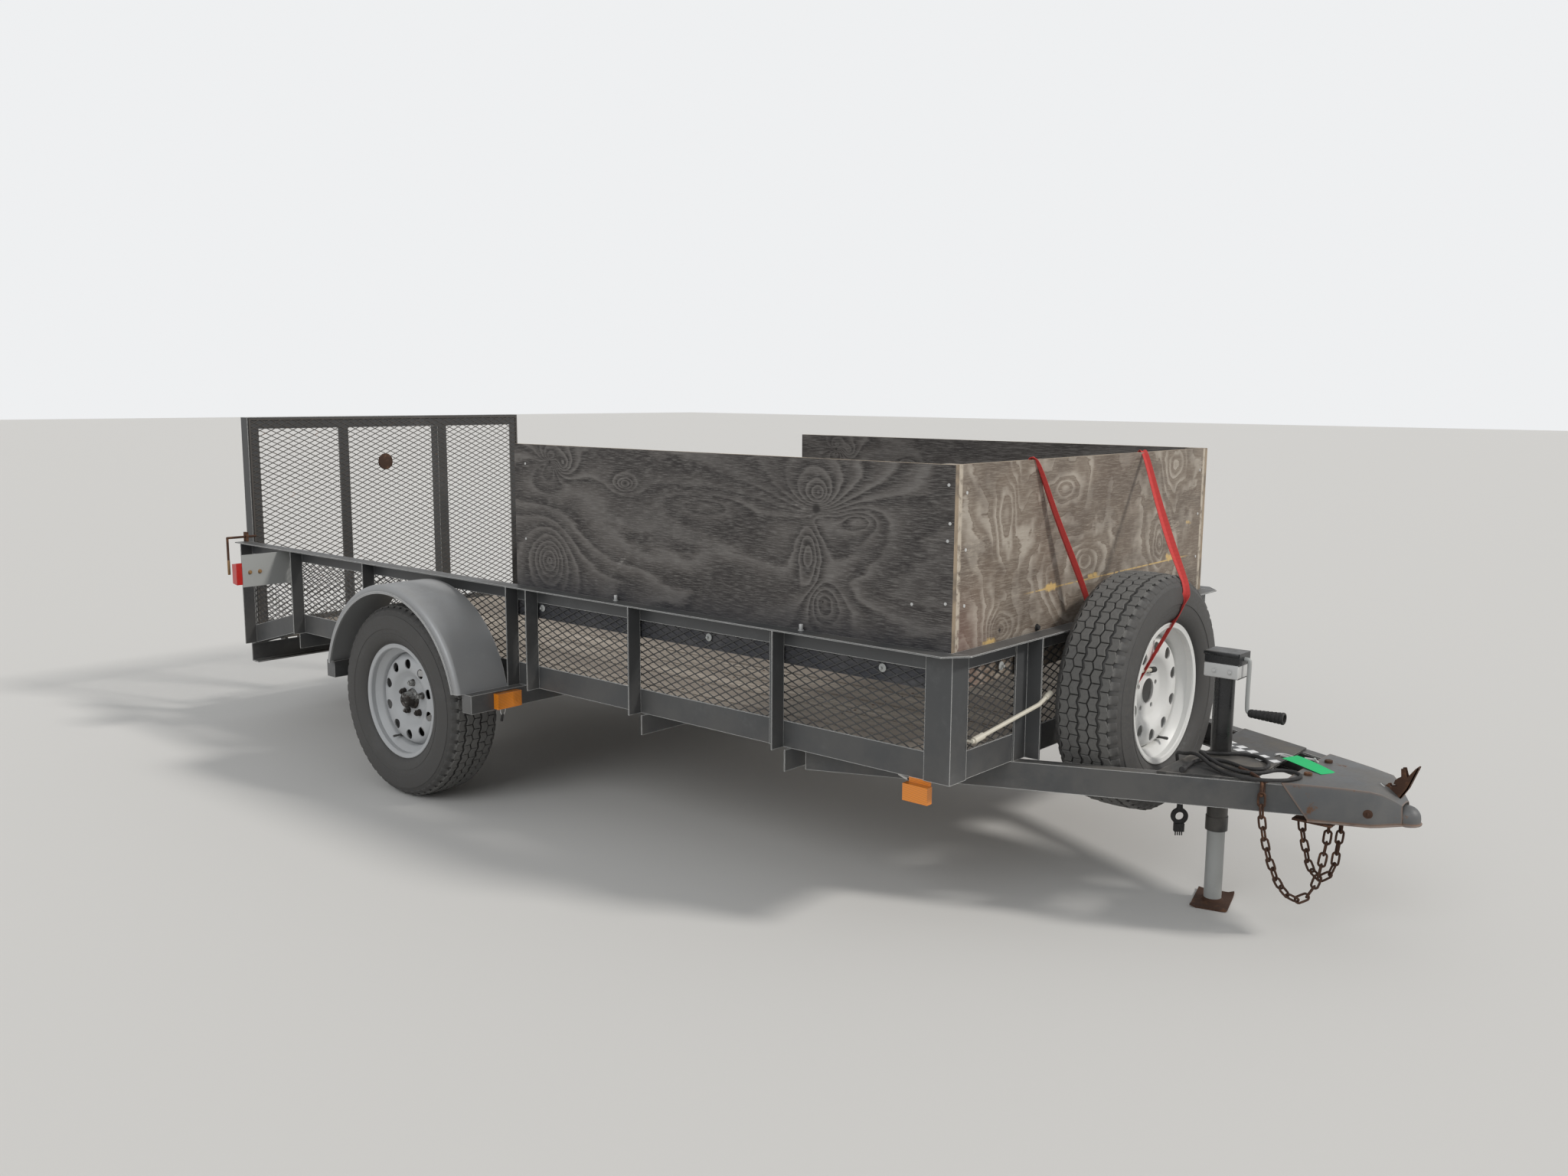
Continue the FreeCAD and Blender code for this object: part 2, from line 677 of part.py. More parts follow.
def gate_frame():
    low = gate_low()
    back = gate_face - leg_t
    pieces = []
    for side in (-1, 1):
        y0, y1 = sorted((side * gate_half, side * (gate_half - leg)))
        pieces.append(box(back, gate_face, y0, y1, low, gate_top))
        y0, y1 = sorted((side * gate_half, side * (gate_half - leg_t)))
        pieces.append(box(back - leg, back, y0, y1, low, gate_top))
        y0, y1 = sorted((side * gate_post_y, side * (gate_post_y + leg)))
        pieces.append(box(back, gate_face, y0, y1, low, gate_top))
        y0, y1 = sorted((side * gate_post_y, side * (gate_post_y + leg_t)))
        pieces.append(box(back - leg, back, y0, y1, low, gate_top))
    for z0, z1, fin in ((low, low + leg, low), (gate_top - leg, gate_top, gate_top - leg_t)):
        pieces.append(box(back, gate_face, -gate_half, gate_half, z0, z1))
        pieces.append(box(back - leg, back, -gate_half, gate_half, fin, fin + leg_t))
    for y in hinge_at:
        start = V(hinge_x, y - hinge_sleeve / 2, hinge_z)
        sleeve = Part.makeCylinder(hinge_r, hinge_sleeve, start, Y)
        web = box(hinge_x - 4, hinge_x + 4, start.y, start.y + hinge_sleeve, hinge_z, low)
        bore = Part.makeCylinder(hinge_pin_r + run_gap, hinge_sleeve, start, Y)
        pieces.append(sleeve.fuse(web).cut(bore))
    return fused(pieces)


def gate_mesh():
    outline = rectangle(gate_half - mesh_rim, gate_low() + mesh_rim, gate_top - mesh_rim)
    return crosswise(expanded(outline), gate_face + mesh_t)


def gate_hinges():
    pieces = []
    high = rail_low(tail_end)
    for y in hinge_at:
        reach = hinge_sleeve / 2 + lug_gap + lug_w
        pin = Part.makeCylinder(hinge_pin_r, 2 * reach + 12, V(hinge_x, y - reach - 6, hinge_z), Y)
        lugs = []
        for y0 in (y - reach, y + reach - lug_w):
            plate = prism_y([(tail_end, high - 60), (tail_end, high - 2), (hinge_x + 4, hinge_z + 10),
                             (hinge_x - 8, hinge_z + 6), (hinge_x - 10, hinge_z - 6)], y0, y0 + lug_w)
            lugs.append(plate.fuse(Part.makeCylinder(hinge_r, lug_w, V(hinge_x, y0, hinge_z), Y)))
        pieces.append(fused(lugs + [pin]))
    return Part.makeCompound(pieces)


def latch_rod():
    """Rod in front of the gate, over the top rail and bent down outside it, in its keeper."""
    x, z = tail_end + 12, top_z + latch_up
    inner, outer = gate_half + latch_gap, bed_half + latch_out
    bend = rod(V(x, -outer, z), V(x, -outer, top_z - latch_down), latch_r)
    across = rod(V(x, -outer, z), V(x, -inner, z), latch_r)
    elbow = Part.makeSphere(latch_r, V(x, -outer, z))
    keeper = box(tail_end, tail_end + 24, -bed_half - 10, -bed_half, top_z, z + 20)
    return fused([bend, across, elbow, keeper])


# Lamps

def lamp_plate():
    x = -flat_len - lamp_plate_back
    return box(x, x + lamp_plate_t, -bed_half - lamp_plate_w, -bed_half, lamp_plate_low, lamp_plate_high)


def tail_lamp():
    x = -flat_len - lamp_plate_back
    rear = x - tail_lamp_deep
    draft = 5.0
    outline = [(rear, tail_lamp_low + draft), (x, tail_lamp_low), (x, tail_lamp_high),
               (rear, tail_lamp_high - draft)]
    return prism_y(outline, -bed_half - tail_lamp_out, -bed_half - tail_lamp_in)


def marker_lamps():
    """An amber lamp under the front of the bed, and one on the front of the fender's tube."""
    front = box(marker_rear, marker_front, -bed_half - marker_deep, -bed_half, marker_low, marker_high)
    bracket = box(marker_rear + 5, marker_front - 5, -bed_half, -bed_half + leg_t, marker_low + 1, rail_z)
    x = tube_front + tube_w
    side = box(x, x + side_lamp_deep, side_lamp_in - tube_out, side_lamp_out - tube_out, side_lamp_low,
               side_lamp_high)
    return [front.fuse(bracket), side]


# Tongue

def tongue_y(x, inset=0.0):
    """Outer face of a tongue rail at a station, moved inward by inset square to the rail."""
    return (tongue_apex - x) * tan_tongue - inset / math.cos(math.radians(tongue_half_deg))


def rail_strip(x0, x1, inset0, inset1, z0, z1):
    """A bar along the right tongue rail, between two insets from its outer face."""
    points = [(x0, -tongue_y(x0, inset0)), (x1, -tongue_y(x1, inset0)),
              (x1, -tongue_y(x1, inset1)), (x0, -tongue_y(x0, inset1))]
    return prism_z(points, z0, z1)


def tongue_rail():
    x0, x1 = cross_at[0], tongue_end
    low = rail_z - tongue_h
    return fused([rail_strip(x0, x1, 0, tongue_t, low, rail_z),
                  rail_strip(x0, x1, tongue_t, tongue_flange, rail_z - tongue_t, rail_z),
                  rail_strip(x0, x1, tongue_t, tongue_flange, low, low + tongue_t)])


def tongue_plate():
    """Plate across the tops of the rails, with a rounded cut behind the jack."""
    x0, x1 = plate_rear, plate_front
    outline = [(x0, -tongue_y(x0, plate_in)), (x1, -tongue_y(x1, plate_in)),
               (x1, tongue_y(x1, plate_in)), (x0, tongue_y(x0, plate_in))]
    plate = prism_z(outline, rail_z, rail_z + plate_t)
    bite = Part.makeCylinder(bite_r, plate_t, V(x0 + bite_deep - bite_r, 0, rail_z), Z)
    hole = Part.makeCylinder(jack_outer_r + 0.3, plate_t, V(jack_at, 0, rail_z), Z)
    return plate.cut(bite).cut(hole)


def coupler():
    """Pressed shell on the rails' ends: it follows their angle and falls to the ball socket."""
    t = coupler_t
    sections = [(x, tongue_y(x) + t - draw, coupler_low, high) for x, draw, high in coupler_sections]
    shell = fused([frustum(a, b) for a, b in zip(sections, sections[1:])])
    inside = [(x, half - t, low - t, high - t) for x, half, low, high in sections[:-1]]
    inside.append((nose_at - t, sections[-1][1] - t, inside[-1][2], sections[-1][3] - t))
    hollow = fused([frustum(a, b) for a, b in zip(inside, inside[1:])])
    wide = 2 * sections[0][1]
    behind = prism_y([(coupler_rear - 1, coupler_low), (coupler_rear + coupler_slant, coupler_low),
                      (coupler_rear, rail_z), (coupler_rear - 1, rail_z)], -wide, wide)
    shell = shell.cut(hollow).cut(behind)
    inner = ball_r + ball_gap
    outer = inner + socket_wall
    dome = Part.makeSphere(outer, V(ball_at, 0, ball_z))
    dome = dome.cut(box(ball_at - outer, ball_at + outer, -outer, outer, ball_z - outer, ball_z))
    low = ball_z - socket_depth
    ring = Part.makeCylinder(outer, socket_depth, V(ball_at, 0, low), Z)
    ball = Part.makeSphere(inner, V(ball_at, 0, ball_z))
    throat = Part.makeCylinder(inner, ball_z - low + 5, V(ball_at, 0, low - 5), Z)
    return fused([shell, dome, ring]).cut(ball.fuse(throat))


def frustum(near, far):
    """A solid between two rectangles (x, half width, low, high) square to the centreline."""
    wires = []
    for x, half, low, high in (near, far):
        corners = [V(x, -half, low), V(x, half, low), V(x, half, high), V(x, -half, high)]
        wires.append(Part.makePolygon(corners + corners[:1]))
    return Part.makeLoft(wires, True, True)


def coupler_high(x):
    """Height of the shell's top at a station."""
    for (xa, _, ha), (xb, _, hb) in zip(coupler_sections, coupler_sections[1:]):
        if xa <= x <= xb:
            return ha + (hb - ha) * (x - xa) / (xb - xa)
    return coupler_sections[-1][2]


def coupler_latch():
    """Bent lever standing on the shell, with the catch's two ears."""
    rear, front = latch_rear, latch_front
    z = coupler_high(front)
    return prism_y([(rear, coupler_high(rear)), (front, z), (front + 14, z + 36), (front + 56, z + 84),
                    (front + 42, z + 90), (front + 6, z + 58), (front + 21, z + 84), (front + 9, z + 90),
                    (front - 14, z + 56)], -latch_half, latch_half)


# Jack

def jack_tube():
    tube = Part.makeCylinder(jack_outer_r, jack_high - jack_low, V(jack_at, 0, jack_low), Z)
    collar = Part.makeCylinder(jack_collar_r, jack_collar_h, V(jack_at, 0, jack_low), Z)
    bore = Part.makeCylinder(jack_outer_r - jack_wall, jack_high - jack_low, V(jack_at, 0, jack_low), Z)
    return tube.fuse(collar).cut(bore)


head_x = jack_at + head_ahead
head_front = head_x + head_half_x + cap_lip


def jack_head():
    """Gear case on the tube, under a cap that stands out a little all round."""
    step = jack_high + head_body_h
    x, y, lip = head_half_x, head_half_y, cap_lip
    body = box(head_x - x, head_x + x, -y, y, jack_high, step)
    cap = box(head_x - x - lip, head_front, -y - lip, y + lip, step, jack_head_top)
    return fused([body, cap])


def jack_crank():
    z = jack_high + head_body_h + 12
    x = head_front + crank_reach
    stub = rod(V(head_front, 0, z), V(x, 0, z), crank_stub_r)
    arm = rod(V(x, 0, z + crank_r), V(x, 0, z - crank_drop), crank_r)
    grip = Part.makeCone(grip_r, grip_end_r, grip_len, V(x + 4, 0, z - crank_drop + 4), X)
    return fused([stub, arm, grip])


def jack_leg():
    height = jack_low + jack_lap - foot_t
    outer = Part.makeCylinder(jack_inner_r, height, V(jack_at, 0, foot_t), Z)
    bore = Part.makeCylinder(jack_inner_r - jack_inner_wall, height - foot_t, V(jack_at, 0, 2 * foot_t), Z)
    return outer.cut(bore)


def jack_foot():
    foot = box(-foot_x / 2, foot_x / 2, -foot_y / 2, foot_y / 2, 0, foot_t)
    foot.rotate(V(0, 0, 0), Z, foot_turn)
    return moved(foot, jack_at)


# Spare wheel: the same wheel, its outer face forward

def as_spare(shape):
    turned = shape.copy()
    turned.rotate(V(0, 0, 0), Z, 90)
    return moved(turned, spare_mid, spare_y, spare_z)


# Strap from the front board's top edge, behind the spare to its hub and back over its shoulder

strap_w, strap_t = 25.0, 2.5
strap_left = ((-25.6, -372, 1190), (-25.6, -372, 1244.3), (-9, -368, 1244.3), (45, -167, 862),
              (45, -141, 812), (54.5, -124, 785), (60, -104, 740), (66, -90, 715), (105, -55, 630))
strap_right = ((-25.6, 288, 1190), (-25.6, 288, 1244.3), (-9, 284, 1244.3), (239, 35, 912),
               (253, 30, 886), (260, 26, 856), (258, 19, 822), (175, -88, 600))


def ribbon(points):
    """Flat webbing through points: thin bars that overlap a little at their joints."""
    bars = []
    points = [V(*p) for p in points]
    for a, b in zip(points, points[1:]):
        along = (b - a).normalize()
        side = (Y - along * Y.dot(along)).normalize()
        face = along.cross(side)
        start, length = a - along, (b - a).Length + 2
        corner = start - side * (strap_w / 2)
        outline = [corner, corner + along * length, corner + along * length + side * strap_w,
                   corner + side * strap_w]
        bars.append(prism(outline, face * strap_t))
    return fused(bars)


def strap():
    return Part.makeCompound([ribbon(strap_left), ribbon(strap_right)])


# Safety chains: flat-sided links, each turned a quarter from the last

def link():
    """One link about the origin, long in X and flat in Z."""
    def ring(length, width, cut):
        x, y = length / 2, width / 2
        return [(-x, -y + cut), (-x + cut, -y), (x - cut, -y), (x, -y + cut),
                (x, y - cut), (x - cut, y), (-x + cut, y), (-x, y - cut)]
    low, high = -chain_wire / 2, chain_wire / 2
    outer = prism_z(ring(link_len, link_w, chain_wire), low, high)
    return outer.cut(prism_z(ring(link_len - 2 * chain_wire, link_w - 2 * chain_wire, link_bend),
                             low, high))


def chain(points):
    curve = Part.BSplineCurve()
    curve.interpolate([V(*p) for p in points])
    edge = curve.toShape()
    count = math.ceil(edge.Length / (link_len - 2 * chain_wire - link_gap))
    joints = edge.discretize(Number=count + 1)
    links = []
    side = Y
    for a, b in zip(joints, joints[1:]):
        along = (b - a).normalize()
        side = along.cross(side).normalize()
        middle = (a + b) * 0.5
        flat = side.cross(along) * -1
        turn = FreeCAD.Matrix(along.x, side.x, flat.x, middle.x, along.y, side.y, flat.y, middle.y,
                              along.z, side.z, flat.z, middle.z, 0, 0, 0, 1)
        one = link()
        one.Placement = FreeCAD.Placement(turn)
        links.append(one)
    return links


def chain_hook():
    """Flat bar over the rail's edge, turned out at its end to a peg for the first link."""
    x0, x1 = hook_at - hook_w / 2, hook_at + hook_w / 2
    outer = -tongue_y(x0) - hook_gap
    y, z = chain_start[1] + chain_wire / 2 + 0.5, chain_start[2]
    top = box(x0, x1, y, outer + hook_lap, rail_z, rail_z + hook_t)
    leg_down = box(x0, x1, y, outer, z - 7, rail_z + hook_t)
    peg = box(x0, x1, y - hook_tip, outer, z - 7, z)
    return fused([top, leg_down, peg])


def chain_plate():
    """Plate across the coupler's lower edge that the chains hang from."""
    start = coupler_rear + chain_plate_at
    return box(start, start + chain_plate_len, *chain_plate_y, coupler_low - plate_t, coupler_low)


def safety_chains():
    links = [one for path in chain_paths for one in chain(path)]
    return Part.makeCompound(links + [chain_hook(), chain_plate()])


# Stay rod in front of the front mesh, its end bolted to the sheet

def stay_rod():
    start, bend, end = [V(*p) for p in rod_path]
    along = (bend - start).normalize()
    tip = (end - bend).normalize()
    collar = start + along * collar_at
    cap = end - tip * 4
    pieces = [rod(start, bend, rod_r), Part.makeSphere(rod_r, bend), rod(bend, end, rod_r),
              rod(collar, collar + along * collar_len, rod_r + 3), rod(cap, cap + tip * rod_cap, rod_r + 2),
              rod(V(-rail_t, start.y, start.z), start + X * rod_r, rod_r / 2)]
    return fused(pieces)


# Free wiring lead: straight runs joined by tangent arcs. It lies in loops on the tongue and
# ends in its plug.

lead_r = 5.0
lead_route = [(400, -250, 444), (397, -226, 443), (392, -196, 441.7), (390, -162, 442), (397, -130, 441.6),
              (420, -107, 442), (454, -104, 441.6), (483, -117, 441.9), (510, -131, 441.6), (539, -130, 442),
              (559, -107, 441.8), (558, -77, 442), (546, -44, 441.7), (524, -15, 441.9), (493, 2, 441.6),
              (462, 0, 441.7), (436, -19, 442), (407, -50, 443), (383, -81, 448), (381, -111, 458),
              (398, -138, 463), (430, -154, 454), (470, -163, 443), (510, -173, 441.7), (542, -170, 442),
              (566, -153, 441.8), (577, -128, 442), (584, -102, 441.9), (605, -86, 442.2), (632, -86, 441.8),
              (653, -103, 442), (659, -129, 441.8), (649, -157, 442), (630, -185, 441.7), (603, -207, 442),
              (572, -219, 441.7), (538, -222, 442), (503, -216, 441.8), (468, -200, 443), (436, -182, 450),
              (408, -168, 461), (378, -150, 461), (352, -131, 450), (328, -110, 443), (309, -88, 437),
              (297, -66, 422), (292, -46, 398), (293, -33, 366), (297, -27, 332), (297, -27, 300)]

plug_boot, boot_r, plug_turn = 44.0, 9.0, 40.0
ring_r, ring_t = 24.0, 8.0
block_w, block_d, block_h = 28.0, 14.0, 24.0
prong_r, prong_out = 1.8, 12.0
gland_r, gland_len = 8.0, 22.0


def route_edges(points):
    """Runs and arcs: each arc is as large as 0.45 of its shorter run allows."""
    points = [V(*p) for p in points]
    edges, radii = [], []
    here = points[0]
    for before, corner, after in zip(points, points[1:], points[2:]):
        to_last, to_next = before - corner, after - corner
        short = min(to_last.Length, to_next.Length)
        turn = math.pi - to_last.getAngle(to_next)
        cut = 0.45 * short
        radii.append(cut / math.tan(turn / 2))
        u, w = to_last.normalize(), to_next.normalize()
        start, end = corner + u * cut, corner + w * cut
        sagitta = radii[-1] / math.cos(turn / 2) - radii[-1]
        middle = corner + (u + w).normalize() * sagitta
        edges.append(Part.LineSegment(here, start).toShape())
        edges.append(Part.Arc(start, middle, end).toShape())
        here = end
    edges.append(Part.LineSegment(here, points[-1]).toShape())
    return edges, radii


def lead():
    edges, radii = route_edges(lead_route)
    path = Part.Wire(edges)
    start, second = V(*lead_route[0]), V(*lead_route[1])
    circle = Part.Wire(Part.makeCircle(lead_r, start, second - start))
    tube = path.makePipeShell([circle], True, False)
    length = sum(edge.Length for edge in edges)
    print("lead length %.0f, volume ratio %.4f" % (length, tube.Volume / (math.pi * lead_r ** 2 * length)))
    print("radii", [round(r) for r in radii])
    return tube


def lead_plug():
    """Boot, hanging ring and a block with four prongs, turned to face forward and right."""
    boot = Part.makeCone(lead_r + 1, boot_r, plug_boot, V(0, 0, 0), -Z)
    middle = V(0, -ring_t / 2, 3 - plug_boot - ring_r)
    ring = Part.makeCylinder(ring_r, ring_t, middle, Y).cut(Part.makeCylinder(ring_r / 2, ring_t, middle, Y))
    top = middle.z - ring_r + 3
    low = top - block_h
    pieces = [boot, ring, box(-block_w / 2, block_w / 2, -block_d / 2, block_d / 2, low, top)]
    pieces += [rod(V(x, 0, low + 4), V(x, 0, low - prong_out), prong_r) for x in (-9, -3, 3, 9)]
    plug = fused(pieces)
    plug.rotate(V(0, 0, 0), Z, plug_turn)
    return moved(plug, *lead_route[-1])


def lead_gland():
    """Strain relief lying on the plate, in line with the lead's first run."""
    start, second = V(*lead_route[0]), V(*lead_route[1])
    back = (start - second).normalize()
    return Part.makeCylinder(gland_r, gland_len, start, back)


def main():
    os.makedirs("parts", exist_ok=True)

    right_rail = side_rail()
    save("side_rail_right", right_rail)
    save("side_rail_left", mirrored(right_rail))
    save("front_rail", front_rail())
    save("cross_members", cross_members())
    save("rear_crossmember", rear_crossmember())
    top = top_rail_side()
    save("top_rail_right", top)
    save("top_rail_left", mirrored(top))
    save("top_rail_front", top_rail_front())
    uprights = [upright(x) for x in upright_at]
    save("uprights_right", Part.makeCompound(uprights))
    save("uprights_left", Part.makeCompound([mirrored(piece) for piece in uprights]))
    save("corner_posts", both_sides([corner_post()]))
    save("front_posts", both_sides([front_post()]))
    mesh = mesh_side()
    save("mesh_right", mesh)
    save("mesh_left", mirrored(mesh))
    save("mesh_front", mesh_front())
    save("deck_boards", deck_boards())
    save("tail_boards", tail_boards())

    board = ply_side()
    save("ply_right", board)
    save("ply_left", mirrored(board))
    save("ply_front", ply_front())
    save("ply_battens", both_sides([ply_batten()]))

    for side, turn in (("right", lambda s: s), ("left", mirrored)):
        save("tyre_" + side, turn(at_wheel(tyre())))
        save("rim_" + side, turn(at_wheel(rim())))
        save("hub_" + side, turn(at_wheel(hub())))
        save("fender_" + side, turn(fender()))
    save("axle", axle())
    save("leaf_springs", both_sides([spring()]))
    save("spring_mounts", both_sides(spring_mounts()))
    save("fender_tubes", fender_tubes())

    save("gate_frame", gate_frame())
    save("gate_mesh", gate_mesh())
    save("gate_hinges", gate_hinges())
    save("gate_latches", both_sides([latch_rod()]))

    save("lamp_plates", both_sides([lamp_plate()]))
    save("tail_lamps", both_sides([tail_lamp()]))
    save("marker_lamps", both_sides(marker_lamps()))

    rail = tongue_rail()
    save("tongue_rail_right", rail)
    save("tongue_rail_left", mirrored(rail))
    save("tongue_plate", tongue_plate())
    save("coupler", coupler())
    save("coupler_latch", coupler_latch())
    save("jack_tube", jack_tube())
    save("jack_head", jack_head())
    save("jack_crank", jack_crank())
    save("jack_leg", jack_leg())
    save("jack_foot", jack_foot())

    save("spare_tyre", as_spare(tyre()))
    save("spare_rim", as_spare(rim()))
    save("strap", strap())
    save("safety_chains", safety_chains())
    save("stay_rod", stay_rod())
    save("wiring_lead", lead())
    save("lead_plug", lead_plug())
    save("lead_gland", lead_gland())


main()
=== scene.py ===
import json
import math

import bpy
import numpy as np
from mathutils import Matrix, Vector


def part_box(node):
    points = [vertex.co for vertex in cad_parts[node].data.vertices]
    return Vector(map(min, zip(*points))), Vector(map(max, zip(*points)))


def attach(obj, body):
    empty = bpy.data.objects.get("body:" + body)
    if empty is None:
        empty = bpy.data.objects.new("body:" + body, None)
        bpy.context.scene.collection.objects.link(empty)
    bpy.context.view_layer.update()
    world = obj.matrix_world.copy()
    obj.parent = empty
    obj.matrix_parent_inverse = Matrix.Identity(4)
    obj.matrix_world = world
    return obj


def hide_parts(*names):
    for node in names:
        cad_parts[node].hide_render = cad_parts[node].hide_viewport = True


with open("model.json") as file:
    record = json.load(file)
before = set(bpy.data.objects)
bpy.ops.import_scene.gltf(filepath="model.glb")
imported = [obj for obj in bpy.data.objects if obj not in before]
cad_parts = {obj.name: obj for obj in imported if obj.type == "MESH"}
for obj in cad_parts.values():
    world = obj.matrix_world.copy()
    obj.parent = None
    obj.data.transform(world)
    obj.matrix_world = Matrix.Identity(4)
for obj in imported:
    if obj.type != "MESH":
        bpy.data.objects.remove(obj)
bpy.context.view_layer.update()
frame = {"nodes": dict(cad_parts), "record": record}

nodes = frame["nodes"]


# Camera at the photograph's angle

CAMERA_AT = (3.1664, -3.4748, 1.4202)
CAMERA_TURN_DEG = (81.4625, -0.3630, 40.8540)
LENS_MM = 30.02
SENSOR_MM = 36.0


def place_camera():
    camera = bpy.data.cameras.new("camera")
    camera.lens = LENS_MM
    camera.sensor_width = SENSOR_MM
    holder = bpy.data.objects.new("camera", camera)
    holder.location = CAMERA_AT
    holder.rotation_euler = [math.radians(a) for a in CAMERA_TURN_DEG]
    bpy.context.scene.collection.objects.link(holder)
    bpy.context.scene.camera = holder


# Places: bed places are millimetres from the front of the bed, the centreline and the ground

BED_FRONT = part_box("front_rail")[1].x * 1000
PLY_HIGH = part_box("ply_front")[1].z * 1000
PLY_FACE = -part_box("ply_right")[0].y * 1000
PLY_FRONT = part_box("ply_front")[1].x * 1000 - BED_FRONT
TOP_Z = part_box("top_rail_front")[1].z * 1000
PLATE_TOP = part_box("tongue_plate")[1].z * 1000
SIDES = ((-1, "right"), (1, "left"))

# The checkered tape's ends on the tongue plate, in bed places, and its squares in metres
TAPE_FROM, TAPE_TO = Vector((352, 116, 0)), Vector((548, -12, 0))
TAPE_TURN = math.atan2(TAPE_TO.y - TAPE_FROM.y, TAPE_TO.x - TAPE_FROM.x)
CHECK_SIZE = 0.025


def bed(s, y, z):
    """A point from its bed place."""
    return Vector(((s + BED_FRONT) / 1000, y / 1000, z / 1000))


# Modelling helpers

def clear_selection():
    bpy.ops.object.select_all(action="DESELECT")


def take(*pieces):
    """Selects pieces, the first of them active."""
    clear_selection()
    for piece in pieces:
        piece.select_set(True)
    bpy.context.view_layer.objects.active = pieces[0]
    return pieces[0]


def edit(piece, *steps):
    """Runs operators on a piece in edit mode, with all of it selected first."""
    take(piece)
    bpy.ops.object.mode_set(mode="EDIT")
    bpy.ops.mesh.select_all(action="SELECT")
    for step in steps:
        step()
    bpy.ops.object.mode_set(mode="OBJECT")
    return piece


def pick(piece, wanted):
    """Selects the vertices whose place passes a test, leaving the piece in edit mode."""
    take(piece)
    bpy.ops.object.mode_set(mode="EDIT")
    bpy.ops.mesh.select_mode(type="VERT")
    bpy.ops.mesh.select_all(action="DESELECT")
    bpy.ops.object.mode_set(mode="OBJECT")
    for vertex in piece.data.vertices:
        vertex.select = wanted(vertex.co)
    bpy.ops.object.mode_set(mode="EDIT")


def shift(piece, wanted, by):
    """Moves the vertices whose place passes a test."""
    pick(piece, wanted)
    bpy.ops.transform.translate(value=by)
    bpy.ops.object.mode_set(mode="OBJECT")


def named(name):
    """The piece just added, named, with its place in its mesh."""
    made = bpy.context.object
    made.name = name
    bpy.ops.object.transform_apply(location=True, rotation=True, scale=True)
    return made


def block(name, low, high):
    """A cube grown to fill the box between two corners."""
    clear_selection()
    low, high = Vector(low), Vector(high)
    bpy.ops.mesh.primitive_cube_add(size=1, location=(low + high) / 2, scale=high - low)
    return named(name)


def drum(name, start, end, radius, sides=16):
    """A cylinder between two points."""
    clear_selection()
    start, end = Vector(start), Vector(end)
    along = end - start
    turn = along.to_track_quat("Z", "Y").to_euler()
    bpy.ops.mesh.primitive_cylinder_add(vertices=sides, radius=radius, depth=along.length,
                                        location=(start + end) / 2, rotation=turn)
    return named(name)


def panel(name, length, width, steps):
    """A flat grid of faces on the floor plane, its length along X."""
    clear_selection()
    bpy.ops.mesh.primitive_grid_add(x_subdivisions=steps[0], y_subdivisions=steps[1], size=1)
    return placed(named(name), Matrix.Diagonal((length, width, 1, 1)))


def skin(name, rows):
    """A grid of faces with its rows of vertices laid on rows of points."""
    clear_selection()
    bpy.ops.mesh.primitive_grid_add(x_subdivisions=len(rows[0]) - 1, y_subdivisions=len(rows) - 1, size=1)
    made = named(name)
    points = [point for row in rows for point in row]
    for vertex, point in zip(made.data.vertices, points):
        vertex.co = point
    return made


def outline(name, points):
    """A chain of edges drawn by extruding one vertex through points."""
    clear_selection()
    bpy.ops.mesh.primitive_plane_add(size=0.01)
    made = named(name)
    points = [Vector(p) for p in points]
    bpy.ops.object.mode_set(mode="EDIT")
    bpy.ops.mesh.merge(type="CENTER")
    bpy.ops.transform.translate(value=points[0])
    for here, there in zip(points, points[1:]):
        bpy.ops.mesh.extrude_vertices_move(TRANSFORM_OT_translate={"value": there - here})
    bpy.ops.object.mode_set(mode="OBJECT")
    return made


def cut_plate(name, points, across):
    """A flat plate with a cut outline, pulled out along a direction."""
    made = outline(name, [*points, points[0]])
    return edit(made, lambda: bpy.ops.mesh.remove_doubles(threshold=1e-6),
                lambda: bpy.ops.mesh.edge_face_add(),
                lambda: bpy.ops.mesh.extrude_region_move(TRANSFORM_OT_translate={"value": across}),
                lambda: bpy.ops.mesh.select_all(action="SELECT"))


def turned(name, points, steps, axis="Y"):
    """A profile of (along, radius) pairs spun about an axis through the origin, as on a lathe."""
    stand = {"X": lambda a, r: (a, 0, r), "Y": lambda a, r: (0, a, r), "Z": lambda a, r: (r, 0, a)}[axis]
    about = {"X": (1, 0, 0), "Y": (0, 1, 0), "Z": (0, 0, 1)}[axis]
    made = outline(name, [stand(a, r) for a, r in points])
    return edit(made, lambda: bpy.ops.mesh.spin(steps=steps, angle=2 * math.pi, center=(0, 0, 0), axis=about),
                lambda: bpy.ops.mesh.select_all(action="SELECT"),
                lambda: bpy.ops.mesh.remove_doubles(threshold=1e-6),
                lambda: bpy.ops.mesh.normals_make_consistent(inside=False))


def drawn(name, points, **settings):
    """A smooth curve along points, with its settings."""
    data = bpy.data.curves.new(name, "CURVE")
    data.dimensions = "3D"
    for key, value in settings.items():
        setattr(data, key, value)
    spline = data.splines.new("NURBS")
    spline.points.add(len(points) - 1)
    for knot, point in zip(spline.points, points):
        knot.co = (*point, 1.0)
    spline.order_u = 3
    spline.use_endpoint_u = True
    made = bpy.data.objects.new(name, data)
    bpy.context.scene.collection.objects.link(made)
    return made


def meshed(piece):
    """A curve made a mesh."""
    take(piece)
    bpy.ops.object.convert(target="MESH")
    return bpy.context.object


def wire(name, points, radius, sides=2):
    """A rod bent along points."""
    return meshed(drawn(name, points, bevel_depth=radius, bevel_resolution=sides, use_fill_caps=True,
                        resolution_u=6))


